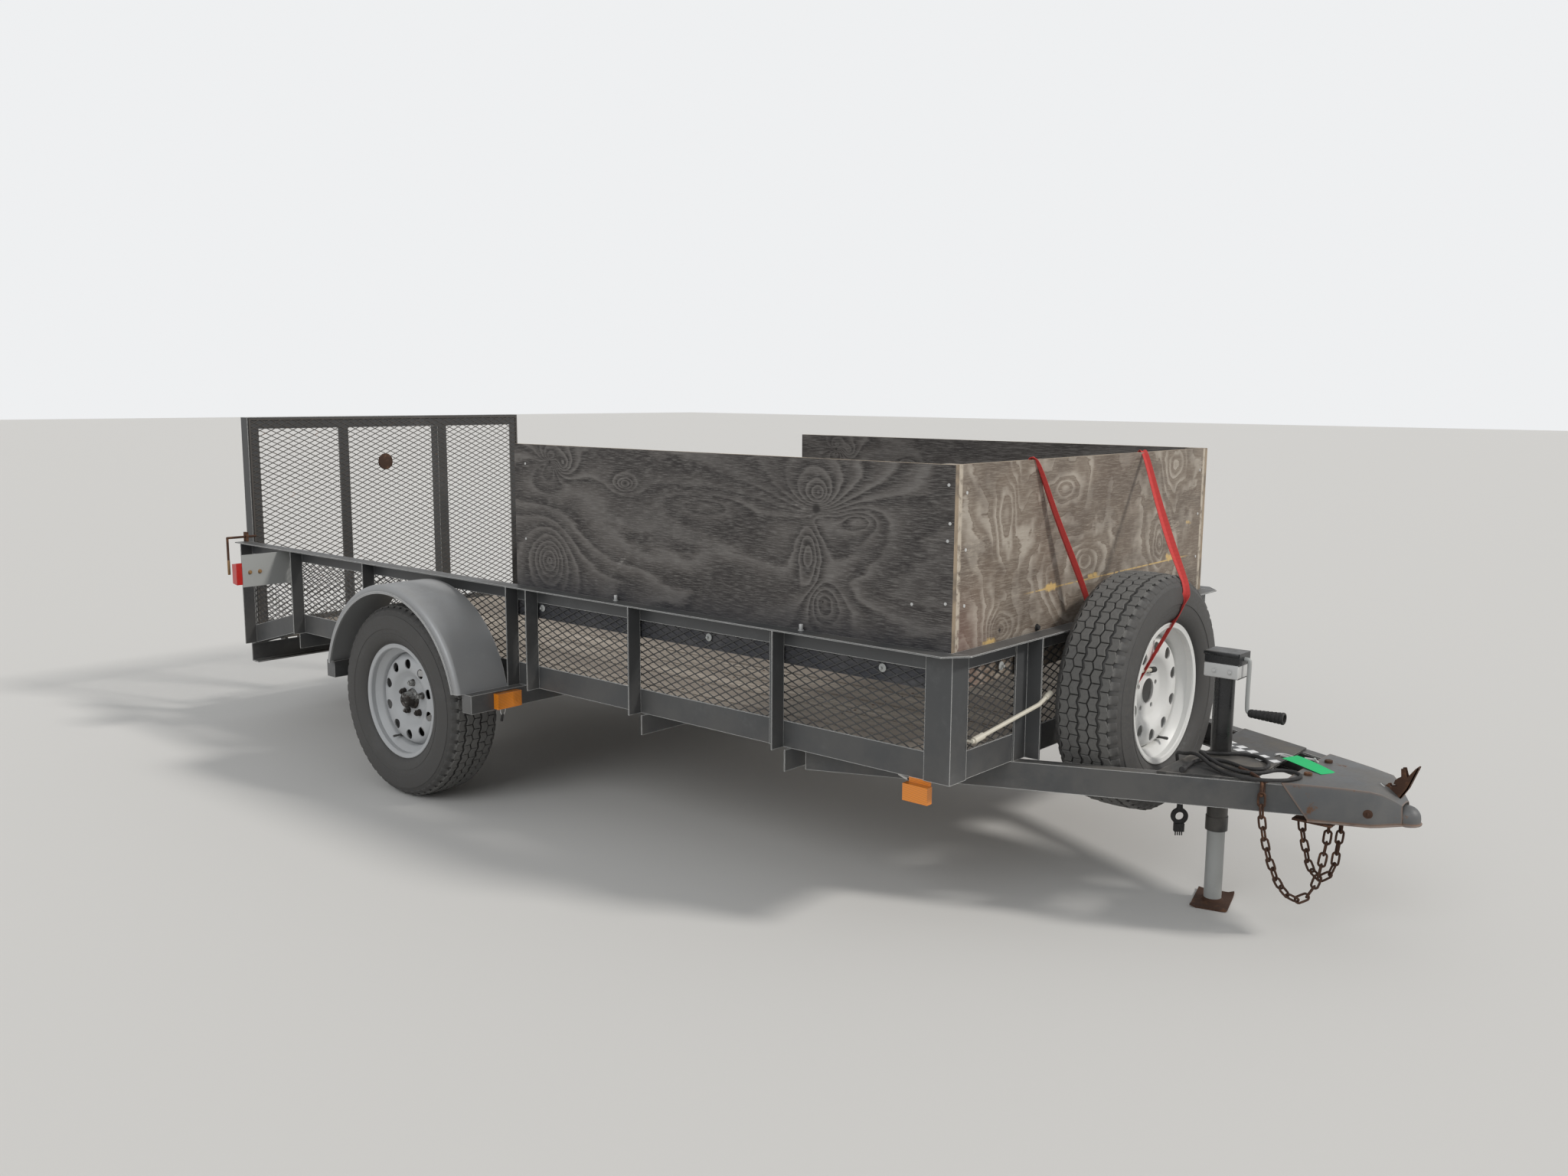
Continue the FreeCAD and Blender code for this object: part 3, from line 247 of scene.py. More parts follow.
def twin(piece, name):
    """A copy with its own mesh."""
    made = piece.copy()
    made.data = piece.data.copy()
    made.name = name
    made.parent = None
    bpy.context.scene.collection.objects.link(made)
    return made


def placed(piece, matrix):
    """Carries a piece's mesh by a matrix: its object stays at the origin."""
    piece.data.transform(matrix)
    if matrix.determinant() < 0:
        piece.data.flip_normals()
    return piece


def modified(piece, kind, **settings):
    """A modifier with its settings, applied."""
    take(piece)
    made = piece.modifiers.new(kind.title(), kind)
    for key, value in settings.items():
        setattr(made, key, value)
    bpy.ops.object.modifier_apply(modifier=made.name)
    return piece


def rounded(piece, width, segments=2, angle_deg=30):
    return modified(piece, "BEVEL", width=width, segments=segments, limit_method="ANGLE",
                    angle_limit=math.radians(angle_deg))


def ring_of(piece, count, axis):
    """Copies of a piece turned about an axis through the origin, as one mesh."""
    turn = bpy.data.objects.new("turn", None)
    bpy.context.scene.collection.objects.link(turn)
    turn.rotation_euler["XYZ".index(axis)] = 2 * math.pi / count
    bpy.context.view_layer.update()
    modified(piece, "ARRAY", count=count, use_relative_offset=False, use_object_offset=True,
             offset_object=turn)
    bpy.data.objects.remove(turn)
    return piece


def joined(name, pieces):
    take(*pieces)
    bpy.ops.object.join()
    pieces[0].name = name
    return pieces[0]


MARK = "marked"


def marked(piece, chosen):
    """Marks a piece's vertices for a finish that reads the marks: tyres' tread tops, painted paler as road
    wear and painted light, and the rims' insides, painted near black as painted shade.
    """
    marks = piece.data.attributes.new(MARK, "FLOAT", "POINT")
    for vertex, mark in zip(piece.data.vertices, marks.data):
        mark.value = float(chosen(vertex.co))
    return piece


def settle(piece, body, slot, finish, *replaced, smooth_deg=35):
    """Shades a finished piece, gives it its finish and fastens it to its body."""
    edit(piece, lambda: bpy.ops.mesh.normals_make_consistent(inside=False))
    bpy.ops.object.transform_apply(location=True, rotation=True, scale=True)
    bpy.ops.object.shade_smooth_by_angle(angle=math.radians(smooth_deg))
    piece.data.materials.clear()
    piece.data.materials.append(finish)
    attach(piece, body)
    if replaced:
        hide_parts(*replaced)
    return piece


# Node helpers

def node(tree, kind, inputs=None, **settings):
    """A node with its settings, its inputs given as numbers or as sockets to link."""
    made = tree.nodes.new(kind)
    for name, value in settings.items():
        setattr(made, name, value)
    for key, value in (inputs or {}).items():
        if isinstance(value, bpy.types.NodeSocket):
            tree.links.new(value, made.inputs[key])
        else:
            made.inputs[key].default_value = value
    return made


def calc(tree, operation, *values, clamp=False):
    inputs = dict(enumerate(values))
    return node(tree, "ShaderNodeMath", inputs, operation=operation, use_clamp=clamp).outputs[0]


def vector_calc(tree, operation, *values):
    return node(tree, "ShaderNodeVectorMath", dict(enumerate(values)), operation=operation).outputs[0]


def noise(tree, at, scale, detail=4.0, roughness=0.55, distortion=0.0):
    inputs = {"Vector": at, "Scale": scale, "Detail": detail, "Roughness": roughness,
              "Distortion": distortion}
    return node(tree, "ShaderNodeTexNoise", inputs).outputs["Fac"]


def fade(tree, value, low, high, to_low=0.0, to_high=1.0):
    """A value carried from one range to another with soft ends."""
    inputs = {"Value": value, "From Min": low, "From Max": high, "To Min": to_low, "To Max": to_high}
    return node(tree, "ShaderNodeMapRange", inputs, interpolation_type="SMOOTHSTEP").outputs["Result"]


def blend_colour(tree, mask, first, second):
    made = node(tree, "ShaderNodeMix", {"Factor": mask}, data_type="RGBA")
    for slot, value in ((6, first), (7, second)):
        if isinstance(value, bpy.types.NodeSocket):
            tree.links.new(value, made.inputs[slot])
        else:
            made.inputs[slot].default_value = (*value, 1.0)
    return made.outputs[2]


def ramp(tree, value, stops):
    """Colours along a value, from (place, colour) stops."""
    made = node(tree, "ShaderNodeValToRGB", {"Fac": value})
    while len(made.color_ramp.elements) < len(stops):
        made.color_ramp.elements.new(1.0)
    for element, (place, colour) in zip(made.color_ramp.elements, stops):
        element.position = place
        element.color = (*colour, 1.0)
    return made.outputs["Color"]


def new_group(name, inputs, outputs):
    """A shader group from (label, default) inputs and (label, kind) outputs."""
    tree = bpy.data.node_groups.new(name, "ShaderNodeTree")
    for label, value in inputs:
        if isinstance(value, str):
            kind = "NodeSocketVector"
        elif isinstance(value, tuple):
            kind = "NodeSocketColor"
        else:
            kind = "NodeSocketFloat"
        socket = tree.interface.new_socket(label, in_out="INPUT", socket_type=kind)
        if kind == "NodeSocketFloat":
            socket.default_value = value
        elif kind == "NodeSocketColor":
            socket.default_value = (*value, 1.0)
    for label, kind in outputs:
        tree.interface.new_socket(label, in_out="OUTPUT", socket_type="NodeSocket" + kind)
    return tree, tree.nodes.new("NodeGroupInput").outputs, tree.nodes.new("NodeGroupOutput").inputs


def use(tree, group, **inputs):
    """A group placed in a material: spaces in its input names are written as underscores."""
    made = tree.nodes.new("ShaderNodeGroup")
    made.node_tree = group
    for key, value in inputs.items():
        socket = made.inputs[key.replace("_", " ")]
        if isinstance(value, bpy.types.NodeSocket):
            tree.links.new(value, socket)
        elif isinstance(value, tuple):
            socket.default_value = (*value, 1.0)
        else:
            socket.default_value = value
    return made.outputs


def place(tree):
    """A point's own place on the object."""
    return tree.nodes.new("ShaderNodeTexCoord").outputs["Object"]


# Effects that several materials share

def edge_wear_and_highlight_group():
    """Where paint is rubbed off along edges, and where a painted highlight runs along them, broken up by
    noise.
    """
    tree, given, out = new_group("edge wear and highlight", [("Place", "at"), ("Radius", 0.004), ("Breakup", 35.0),
                                               ("Amount", 0.5)], [("Mask", "Float")])
    bevel = node(tree, "ShaderNodeBevel", {"Radius": given["Radius"]}, samples=4).outputs["Normal"]
    face = tree.nodes.new("ShaderNodeNewGeometry").outputs["Normal"]
    flat = node(tree, "ShaderNodeVectorMath", {0: bevel, 1: face}, operation="DOT_PRODUCT").outputs["Value"]
    edge = fade(tree, calc(tree, "SUBTRACT", 1.0, flat), 0.02, 0.22)
    patch = noise(tree, given["Place"], given["Breakup"], 3.0)
    keep = calc(tree, "ADD", calc(tree, "SUBTRACT", patch, 0.85), given["Amount"])
    mask = calc(tree, "MULTIPLY", edge, fade(tree, keep, 0.0, 0.16))
    tree.links.new(mask, out["Mask"])
    return tree


def patches_group():
    """Soft-edged patches and the fine speckle inside them."""
    tree, given, out = new_group("patches",
                                 [("Place", "at"), ("Scale", 6.0), ("Cover", 0.5), ("Softness", 0.12),
                                  ("Stretch", (1.0, 1.0, 1.0))], [("Mask", "Float"), ("Speckle", "Float")])
    at = vector_calc(tree, "MULTIPLY", given["Place"], given["Stretch"])
    broad = noise(tree, at, given["Scale"], 6.0, 0.62)
    fine = noise(tree, given["Place"], calc(tree, "MULTIPLY", given["Scale"], 14.0), 3.0)
    mixed = calc(tree, "ADD", broad, calc(tree, "MULTIPLY", calc(tree, "SUBTRACT", fine, 0.5), 0.25))
    start = calc(tree, "SUBTRACT", 0.78, calc(tree, "MULTIPLY", given["Cover"], 0.5))
    end = calc(tree, "ADD", start, given["Softness"])
    tree.links.new(fade(tree, mixed, start, end), out["Mask"])
    tree.links.new(fine, out["Speckle"])
    return tree


def dust_group():
    """Road dust: on faces that look up, and more of it near the ground."""
    tree, given, out = new_group("dust", [("Place", "at"), ("Top", 0.5), ("Low", 0.6), ("Height", 0.5)],
                                 [("Mask", "Float")])
    face = tree.nodes.new("ShaderNodeNewGeometry").outputs["Normal"]
    up = node(tree, "ShaderNodeSeparateXYZ", {0: face}).outputs["Z"]
    high = node(tree, "ShaderNodeSeparateXYZ", {0: given["Place"]}).outputs["Z"]
    lying = calc(tree, "MULTIPLY", fade(tree, up, 0.25, 0.95), given["Top"])
    near = calc(tree, "MULTIPLY", fade(tree, high, given["Height"], 0.0), given["Low"])
    cloud = fade(tree, noise(tree, given["Place"], 7.0, 6.0, 0.65), 0.34, 0.66)
    both = calc(tree, "ADD", lying, near)
    tree.links.new(calc(tree, "MULTIPLY", both, cloud, clamp=True), out["Mask"])
    return tree


LOBE_CORE = 0.16


def knot_group():
    """A knot on a board: rings round one place, or lobes above and below it, and its dark eye."""
    tree, given, out = new_group("knot", [("Place", "at"), ("Across", 0.0), ("Up", 0.0), ("Width", 0.2),
                                          ("Height", 0.1), ("Eye", 0.02)],
                                 [("Rise", "Float"), ("Lobes", "Float"), ("Eye", "Float")])
    split = node(tree, "ShaderNodeSeparateXYZ", {0: given["Place"]}).outputs
    x = calc(tree, "SUBTRACT", split["X"], given["Across"])
    z = calc(tree, "SUBTRACT", split["Z"], given["Up"])
    far = calc(tree, "ADD", calc(tree, "POWER", calc(tree, "DIVIDE", x, given["Width"]), 2.0),
               calc(tree, "POWER", calc(tree, "DIVIDE", z, given["Height"]), 2.0))
    rise = calc(tree, "DIVIDE", 1.0, calc(tree, "ADD", calc(tree, "MULTIPLY", far, 1.6), 1.0))
    lobes = calc(tree, "DIVIDE", calc(tree, "DIVIDE", z, given["Height"]), calc(tree, "ADD", far, LOBE_CORE))
    near = calc(tree, "SQRT", calc(tree, "ADD", calc(tree, "MULTIPLY", x, x), calc(tree, "MULTIPLY", z, z)))
    tree.links.new(rise, out["Rise"])
    tree.links.new(lobes, out["Lobes"])
    tree.links.new(fade(tree, near, given["Eye"], calc(tree, "MULTIPLY", given["Eye"], 0.3)), out["Eye"])
    return tree


def figure_group():
    """Rotary-cut veneer: wavy growth lines where a slow height field crosses its levels."""
    tree, given, out = new_group("veneer figure", [("Place", "at"), ("Rise", 0.0), ("Lines", 9.0),
                                                   ("Stretch", (0.55, 1.0, 2.2)), ("Wander", 1.6),
                                                   ("Ragged", 0.06)],
                                 [("Line", "Float"), ("Pale", "Float"), ("Grain", "Float")])
    at = vector_calc(tree, "MULTIPLY", given["Place"], given["Stretch"])
    slow = noise(tree, at, given["Wander"], 3.5, 0.5, 0.35)
    ragged = noise(tree, vector_calc(tree, "MULTIPLY", given["Place"], (9.0, 70.0, 70.0)), 1.0, 4.0, 0.75)
    field = calc(tree, "ADD", slow, given["Rise"])
    field = calc(tree, "ADD", field,
                 calc(tree, "MULTIPLY", calc(tree, "SUBTRACT", ragged, 0.5), given["Ragged"]))
    saw = calc(tree, "FRACT", calc(tree, "MULTIPLY", field, given["Lines"]))
    line = calc(tree, "MULTIPLY", calc(tree, "POWER", fade(tree, saw, 0.1, 0.8), 1.6),
                fade(tree, saw, 1.0, 0.88))
    grain_at = vector_calc(tree, "MULTIPLY", given["Place"], (6.0, 90.0, 90.0))
    grain = noise(tree, grain_at, 4.0, 3.0, 0.7)
    tree.links.new(line, out["Line"])
    tree.links.new(calc(tree, "MULTIPLY", fade(tree, saw, 0.4, 0.05), fade(tree, saw, 0.0, 0.05)),
                   out["Pale"])
    tree.links.new(grain, out["Grain"])
    return tree


EDGE_WEAR_AND_HIGHLIGHT = edge_wear_and_highlight_group()
PATCHES = patches_group()
DUST = dust_group()
KNOT = knot_group()
FIGURE = figure_group()


# Materials

def marks(tree):
    """The marks that some meshes carry."""
    return node(tree, "ShaderNodeAttribute", attribute_name=MARK).outputs["Fac"]


def new_material(name, roughness=0.5, metallic=0.0, **settings):
    """A Principled material: its tree and its shader's inputs."""
    made = bpy.data.materials.new(name)
    made.use_nodes = True
    shader = made.node_tree.nodes["Principled BSDF"].inputs
    shader["Roughness"].default_value = roughness
    shader["Metallic"].default_value = metallic
    for label, value in settings.items():
        shader[label.replace("_", " ")].default_value = value
    return made, made.node_tree, shader


def bump(tree, shader, height, strength=0.3, distance=0.001):
    made = node(tree, "ShaderNodeBump", {"Height": height, "Strength": strength, "Distance": distance})
    tree.links.new(made.outputs["Normal"], shader["Normal"])


def worn_paint(name, colour, wear_and_highlight_colour, wear_and_highlight=0.35, dust=0.5, rust=0.0, roughness=0.42, low=0.5,
               radius=0.0035,
               mottle=0.35, metallic=0.0, painted_inner_shade=None):
    """Painted steel: mottled coat, rubbed edges with a painted highlight where their colour is light, dust on
    top and low down, and rust where asked.
    """
    made, tree, shader = new_material(name, roughness, metallic)
    at = place(tree)
    dark = tuple(c * (1.0 - mottle) for c in colour)
    light = tuple(min(1.0, c * (1.0 + mottle)) for c in colour)
    cloud = use(tree, PATCHES, Place=at, Scale=5.0, Cover=0.5, Softness=0.4)
    coat = blend_colour(tree, cloud["Mask"], dark, light)
    dusty = use(tree, DUST, Place=at, Top=dust, Low=low, Height=0.75)["Mask"]
    coat = blend_colour(tree, calc(tree, "MULTIPLY", dusty, 0.55), coat, (0.29, 0.26, 0.22))
    # Rubbed edges: bare steel, and, where the edge colour is light, a painted highlight along the edges
    rub_and_highlight = use(tree, EDGE_WEAR_AND_HIGHLIGHT, Place=at, Radius=radius, Breakup=22.0, Amount=wear_and_highlight)["Mask"]
    coat = blend_colour(tree, rub_and_highlight, coat, wear_and_highlight_colour)
    rough = fade(tree, calc(tree, "ADD", dusty, calc(tree, "MULTIPLY", cloud["Speckle"], 0.4)), 0.0, 1.2,
                 roughness, 0.85)
    if rust:
        spots = use(tree, PATCHES, Place=at, Scale=16.0, Cover=rust, Softness=0.1)
        iron = blend_colour(tree, spots["Speckle"], (0.06, 0.032, 0.02), (0.185, 0.095, 0.052))
        coat = blend_colour(tree, spots["Mask"], coat, iron)
        rough = calc(tree, "MAXIMUM", rough, calc(tree, "MULTIPLY", spots["Mask"], 0.85))
    # Marked vertices painted near black: painted shade inside the rim's barrel
    if painted_inner_shade:
        coat = blend_colour(tree, fade(tree, marks(tree), 0.45, 0.6), coat, painted_inner_shade)
    tree.links.new(coat, shader["Base Color"])
    tree.links.new(rough, shader["Roughness"])
    bump(tree, shader, cloud["Speckle"], 0.12, 0.0006)
    return made


def rusted(name, iron_dark, iron_light, bare, cover, metallic=0.35):
    """Steel that has rusted through its finish, with bare or painted islands left."""
    made, tree, shader = new_material(name, 0.8, metallic)
    at = place(tree)
    scale = use(tree, PATCHES, Place=at, Scale=28.0, Cover=0.55, Softness=0.35)
    iron = blend_colour(tree, scale["Mask"], iron_dark, iron_light)
    left = use(tree, PATCHES, Place=at, Scale=11.0, Cover=1.0 - cover, Softness=0.15)
    coat = blend_colour(tree, left["Mask"], iron, bare)
    tree.links.new(coat, shader["Base Color"])
    tree.links.new(fade(tree, left["Mask"], 0.0, 1.0, 0.85, 0.45), shader["Roughness"])
    bump(tree, shader, scale["Speckle"], 0.5, 0.0008)
    return made


def swapped(tree, at):
    """A place with its X and Y exchanged, so that a pattern drawn along X runs across the bed."""
    split = node(tree, "ShaderNodeSeparateXYZ", {0: at}).outputs
    return node(tree, "ShaderNodeCombineXYZ", {"X": split["Y"], "Y": split["X"], "Z": split["Z"]}).outputs[0]


def veneer(name, tones, knots, across=False, lines=6.0, stretch=(0.45, 1.0, 1.5), wander=1.2, scuff=0.3,
           tint=None,
           extra=None, broken=0.35):
    """Stained and weathered plywood: figure, knots, fine grain, rubbed patches, tinted foot, sawn edges."""
    dark, base, light, shade = tones
    made, tree, shader = new_material(name, 0.68)
    at = place(tree)
    along = swapped(tree, at) if across else at
    rise, eyes = None, None
    for where, up, width, height, eye, lift, lobes in knots:
        one = use(tree, KNOT, Place=along, Across=where, Up=up, Width=width, Height=height, Eye=eye)
        part = calc(tree, "ADD", calc(tree, "MULTIPLY", one["Rise"], lift),
                    calc(tree, "MULTIPLY", one["Lobes"], lobes))
        rise = part if rise is None else calc(tree, "ADD", rise, part)
        eyes = one["Eye"] if eyes is None else calc(tree, "MAXIMUM", eyes, one["Eye"])
    given = {} if rise is None else {"Rise": rise}
    figure = use(tree, FIGURE, Place=along, Lines=lines, Stretch=stretch, Wander=wander, **given)
    cloud = use(tree, PATCHES, Place=along, Scale=2.6, Cover=0.55, Softness=0.5, Stretch=(0.5, 1.0, 1.4))
    tone = blend_colour(tree, calc(tree, "MULTIPLY", cloud["Mask"], 0.7), base, light)
    gaps = fade(tree, noise(tree, along, 8.0, 3.0), 0.36, 0.56, 1.0 - broken, 1.0)
    tone = blend_colour(tree, calc(tree, "MULTIPLY", calc(tree, "MULTIPLY", figure["Pale"], gaps), 0.35),
                        tone, light)
    tone = blend_colour(tree, calc(tree, "MULTIPLY", figure["Line"], gaps), tone, dark)
    murk = fade(tree, noise(tree, vector_calc(tree, "MULTIPLY", along, (0.8, 1.0, 1.6)), 3.6, 5.0, 0.6), 0.44,
                0.6)
    tone = blend_colour(tree, calc(tree, "MULTIPLY", murk, 0.55), tone, shade)
    fine = fade(tree, figure["Grain"], 0.42, 0.68)
    tone = blend_colour(tree, calc(tree, "MULTIPLY", fine, 0.6), tone, light)
    worn = use(tree, PATCHES, Place=along, Scale=7.0, Cover=scuff, Softness=0.25, Stretch=(0.6, 1.0, 1.5))
    pale = tuple(min(1.0, c * 1.7) for c in light)
    tone = blend_colour(tree, calc(tree, "MULTIPLY", worn["Mask"], fine), tone, pale)
    if eyes is not None:
        tone = blend_colour(tree, calc(tree, "MULTIPLY", eyes, 0.9), tone, (0.012, 0.009, 0.008))
    if tint:
        colour, low, high = tint
        up = node(tree, "ShaderNodeSeparateXYZ", {0: at}).outputs["Z"]
        foot = fade(tree, calc(tree, "ADD", up, calc(tree, "MULTIPLY", cloud["Speckle"], 0.05)), high, low)
        tone = blend_colour(tree, calc(tree, "MULTIPLY", foot, 0.65), tone, colour)
    if extra:
        tone = extra(tree, at, tone)
    face = node(tree, "ShaderNodeSeparateXYZ",
                {0: tree.nodes.new("ShaderNodeNewGeometry").outputs["Normal"]}).outputs
    flat = calc(tree, "ABSOLUTE", face["X" if across else "Y"])
    depth = node(tree, "ShaderNodeSeparateXYZ", {0: at}).outputs["X" if across else "Y"]
    plies = calc(tree, "FRACT", calc(tree, "MULTIPLY", depth, 310.0))
    stain = noise(tree, at, 14.0, 4.0)
    sawn = blend_colour(tree, fade(tree, plies, 0.35, 0.6), (0.4, 0.33, 0.24), (0.25, 0.18, 0.12))
    sawn = blend_colour(tree, fade(tree, stain, 0.45, 0.7), sawn, (0.16, 0.13, 0.1))
    tone = blend_colour(tree, fade(tree, flat, 0.6, 0.4), tone, sawn)
    tree.links.new(tone, shader["Base Color"])
    tree.links.new(fade(tree, figure["Grain"], 0.3, 0.7, 0.55, 0.8), shader["Roughness"])
    height = calc(tree, "ADD", figure["Grain"], calc(tree, "MULTIPLY", figure["Line"], 0.5))
    bump(tree, shader, height, 0.3, 0.001)
    return made


# Bare-wood scar across the front board: its height over the board's width, and its ends
SCAR_Z, SCAR_SLOPE = 0.8875, 0.011
SCAR_FROM, SCAR_TO = -0.42, 0.66
# Columns: place across, height, half width and half height of each rubbed place
RUBBED = ((-0.26, 0.888, 0.07, 0.018), (-0.01, 0.895, 0.06, 0.012), (0.50, 0.903, 0.05, 0.02),
          (0.632, 1.005, 0.03, 0.01), (-0.574, 0.775, 0.045, 0.022))
BORDER = 0.02


def scarred(tree, at, tone):
    """A long scratch and rubbed places that show bare yellow wood, and a red bleed at the near corner."""
    split = node(tree, "ShaderNodeSeparateXYZ", {0: at}).outputs
    y, z = split["Y"], split["Z"]
    broken = noise(tree, at, 45.0, 4.0, 0.7)
    line = calc(tree, "SUBTRACT", z, calc(tree, "ADD", SCAR_Z, calc(tree, "MULTIPLY", y, SCAR_SLOPE)))
    thin = fade(tree, calc(tree, "ABSOLUTE", line), 0.0032, 0.0006)
    reach = calc(tree, "MULTIPLY", fade(tree, y, SCAR_FROM, SCAR_FROM + 0.1),
                 fade(tree, y, SCAR_TO, SCAR_TO - 0.1))
    bare = calc(tree, "MULTIPLY", calc(tree, "MULTIPLY", thin, reach), fade(tree, broken, 0.34, 0.5))
    for at_y, at_z, wide, high in RUBBED:
        dy = calc(tree, "DIVIDE", calc(tree, "SUBTRACT", y, at_y), wide)
        dz = calc(tree, "DIVIDE", calc(tree, "SUBTRACT", z, at_z), high)
        far = calc(tree, "ADD", calc(tree, "MULTIPLY", dy, dy), calc(tree, "MULTIPLY", dz, dz))
        ragged = calc(tree, "ADD", far, calc(tree, "MULTIPLY", broken, 2.4))
        bare = calc(tree, "MAXIMUM", bare, fade(tree, ragged, 1.75, 1.2))
    red = calc(tree, "MULTIPLY", fade(tree, y, -0.52, -0.74), fade(tree, z, 1.0, 0.7))
    tone = blend_colour(tree, calc(tree, "MULTIPLY", red, 0.5), tone, (0.2, 0.085, 0.07))
    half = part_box("ply_front")[1].y
    border = fade(tree, calc(tree, "ABSOLUTE", y), half - BORDER, half - BORDER * 0.6)
    tone = blend_colour(tree, calc(tree, "MULTIPLY", border, fade(tree, broken, 0.3, 0.55)), tone,
                        (0.5, 0.44, 0.36))
    return blend_colour(tree, bare, tone, (0.62, 0.43, 0.17))


def planks(name):
    """Weathered softwood boards with grain along the bed and grey wear."""
    made, tree, shader = new_material(name, 0.8)
    at = place(tree)
    grain_at = vector_calc(tree, "MULTIPLY", at, (1.6, 60.0, 60.0))
    grain = noise(tree, grain_at, 1.6, 4.0, 0.6, 0.6)
    board = noise(tree, vector_calc(tree, "MULTIPLY", at, (0.25, 6.6, 0.0)), 1.0, 1.0)
    tone = ramp(tree, grain,
                ((0.3, (0.10, 0.085, 0.068)), (0.5, (0.33, 0.285, 0.235)), (0.72, (0.52, 0.46, 0.39))))
    tone = blend_colour(tree, fade(tree, board, 0.35, 0.65), tone, (0.24, 0.205, 0.17))
    dirty = use(tree, PATCHES, Place=at, Scale=4.0, Cover=0.45, Softness=0.3)
    tone = blend_colour(tree, calc(tree, "MULTIPLY", dirty["Mask"], 0.5), tone, (0.10, 0.086, 0.074))
    tree.links.new(tone, shader["Base Color"])
    bump(tree, shader, grain, 0.5, 0.0015)
    return made


def checkers(name):
    """Black and white squares in a strip."""
    made, tree, shader = new_material(name, 0.4)
    edge = bed(TAPE_FROM.x, TAPE_FROM.y, 0)
    across = Matrix.Rotation(-TAPE_TURN, 3, "Z") @ edge
    spin = node(tree, "ShaderNodeMapping", {"Vector": place(tree), "Location": (0, -across.y, 0),
                                            "Rotation": (0, 0, -TAPE_TURN)})
    squares = node(tree, "ShaderNodeTexChecker", {"Vector": spin.outputs[0], "Scale": 1 / CHECK_SIZE,
                                                  "Color1": (0.8, 0.8, 0.8, 1),
                                                  "Color2": (0.015, 0.015, 0.015, 1)})
    dusty = use(tree, PATCHES, Place=place(tree), Scale=30.0, Cover=0.4, Softness=0.2)
    tone = blend_colour(tree, calc(tree, "MULTIPLY", dusty["Mask"], 0.5), squares.outputs["Color"],
                        (0.2, 0.18, 0.16))
    tree.links.new(tone, shader["Base Color"])
    return made


def rubber(name, colour, dust_colour, dust_amount, road_and_light_colour=None):
    """Black rubber with a little dust, and paler where its mesh is marked on the tread's tops: road wear and
    painted light.
    """
    made, tree, shader = new_material(name, 0.75)
    at = place(tree)
    cloud = use(tree, PATCHES, Place=at, Scale=9.0, Cover=0.5, Softness=0.3)
    coat = blend_colour(tree, cloud["Mask"], colour, tuple(c * 1.6 for c in colour))
    dusty = calc(tree, "MULTIPLY", cloud["Speckle"], dust_amount)
    coat = blend_colour(tree, dusty, coat, dust_colour)
    if road_and_light_colour:
        # Tread tops painted paler: road wear, and painted light standing in for sun on the blocks
        patchy = fade(tree, cloud["Speckle"], 0.3, 0.6, 0.6, 1.0)
        coat = blend_colour(tree, calc(tree, "MULTIPLY", fade(tree, marks(tree), 0.5, 1.0), patchy), coat,
                            road_and_light_colour)
    tree.links.new(coat, shader["Base Color"])
    tree.links.new(fade(tree, cloud["Speckle"], 0.3, 0.7, 0.6, 0.9), shader["Roughness"])
    bump(tree, shader, cloud["Speckle"], 0.25, 0.0006)
    return made


def lens(name, colour):
    """A moulded lamp lens: fine prisms under a glossy face."""
    made, tree, shader = new_material(name, 0.18, Coat_Weight=0.6)
    at = place(tree)
    wave = node(tree, "ShaderNodeTexWave", {"Vector": at, "Scale": 90.0}, bands_direction="Z").outputs["Fac"]
    inner = blend_colour(tree, wave, colour, tuple(c * 0.55 for c in colour))
    tree.links.new(inner, shader["Base Color"])
    bump(tree, shader, wave, 0.4, 0.0006)
    return made


def webbing(name, colour, dark):
    """Woven strap: ribs across it, and darker where it is soiled."""
    made, tree, shader = new_material(name, 0.8)
    at = place(tree)
    ribs = node(tree, "ShaderNodeTexWave", {"Vector": at, "Scale": 130.0, "Distortion": 0.4},
                bands_direction="Z").outputs["Fac"]
    cloud = use(tree, PATCHES, Place=at, Scale=10.0, Cover=0.5, Softness=0.3)
    coat = blend_colour(tree, ribs, colour, dark)
    coat = blend_colour(tree, calc(tree, "MULTIPLY", cloud["Mask"], 0.5), coat, dark)
    tree.links.new(coat, shader["Base Color"])
    bump(tree, shader, ribs, 0.5, 0.0006)
    return made


# Finishes

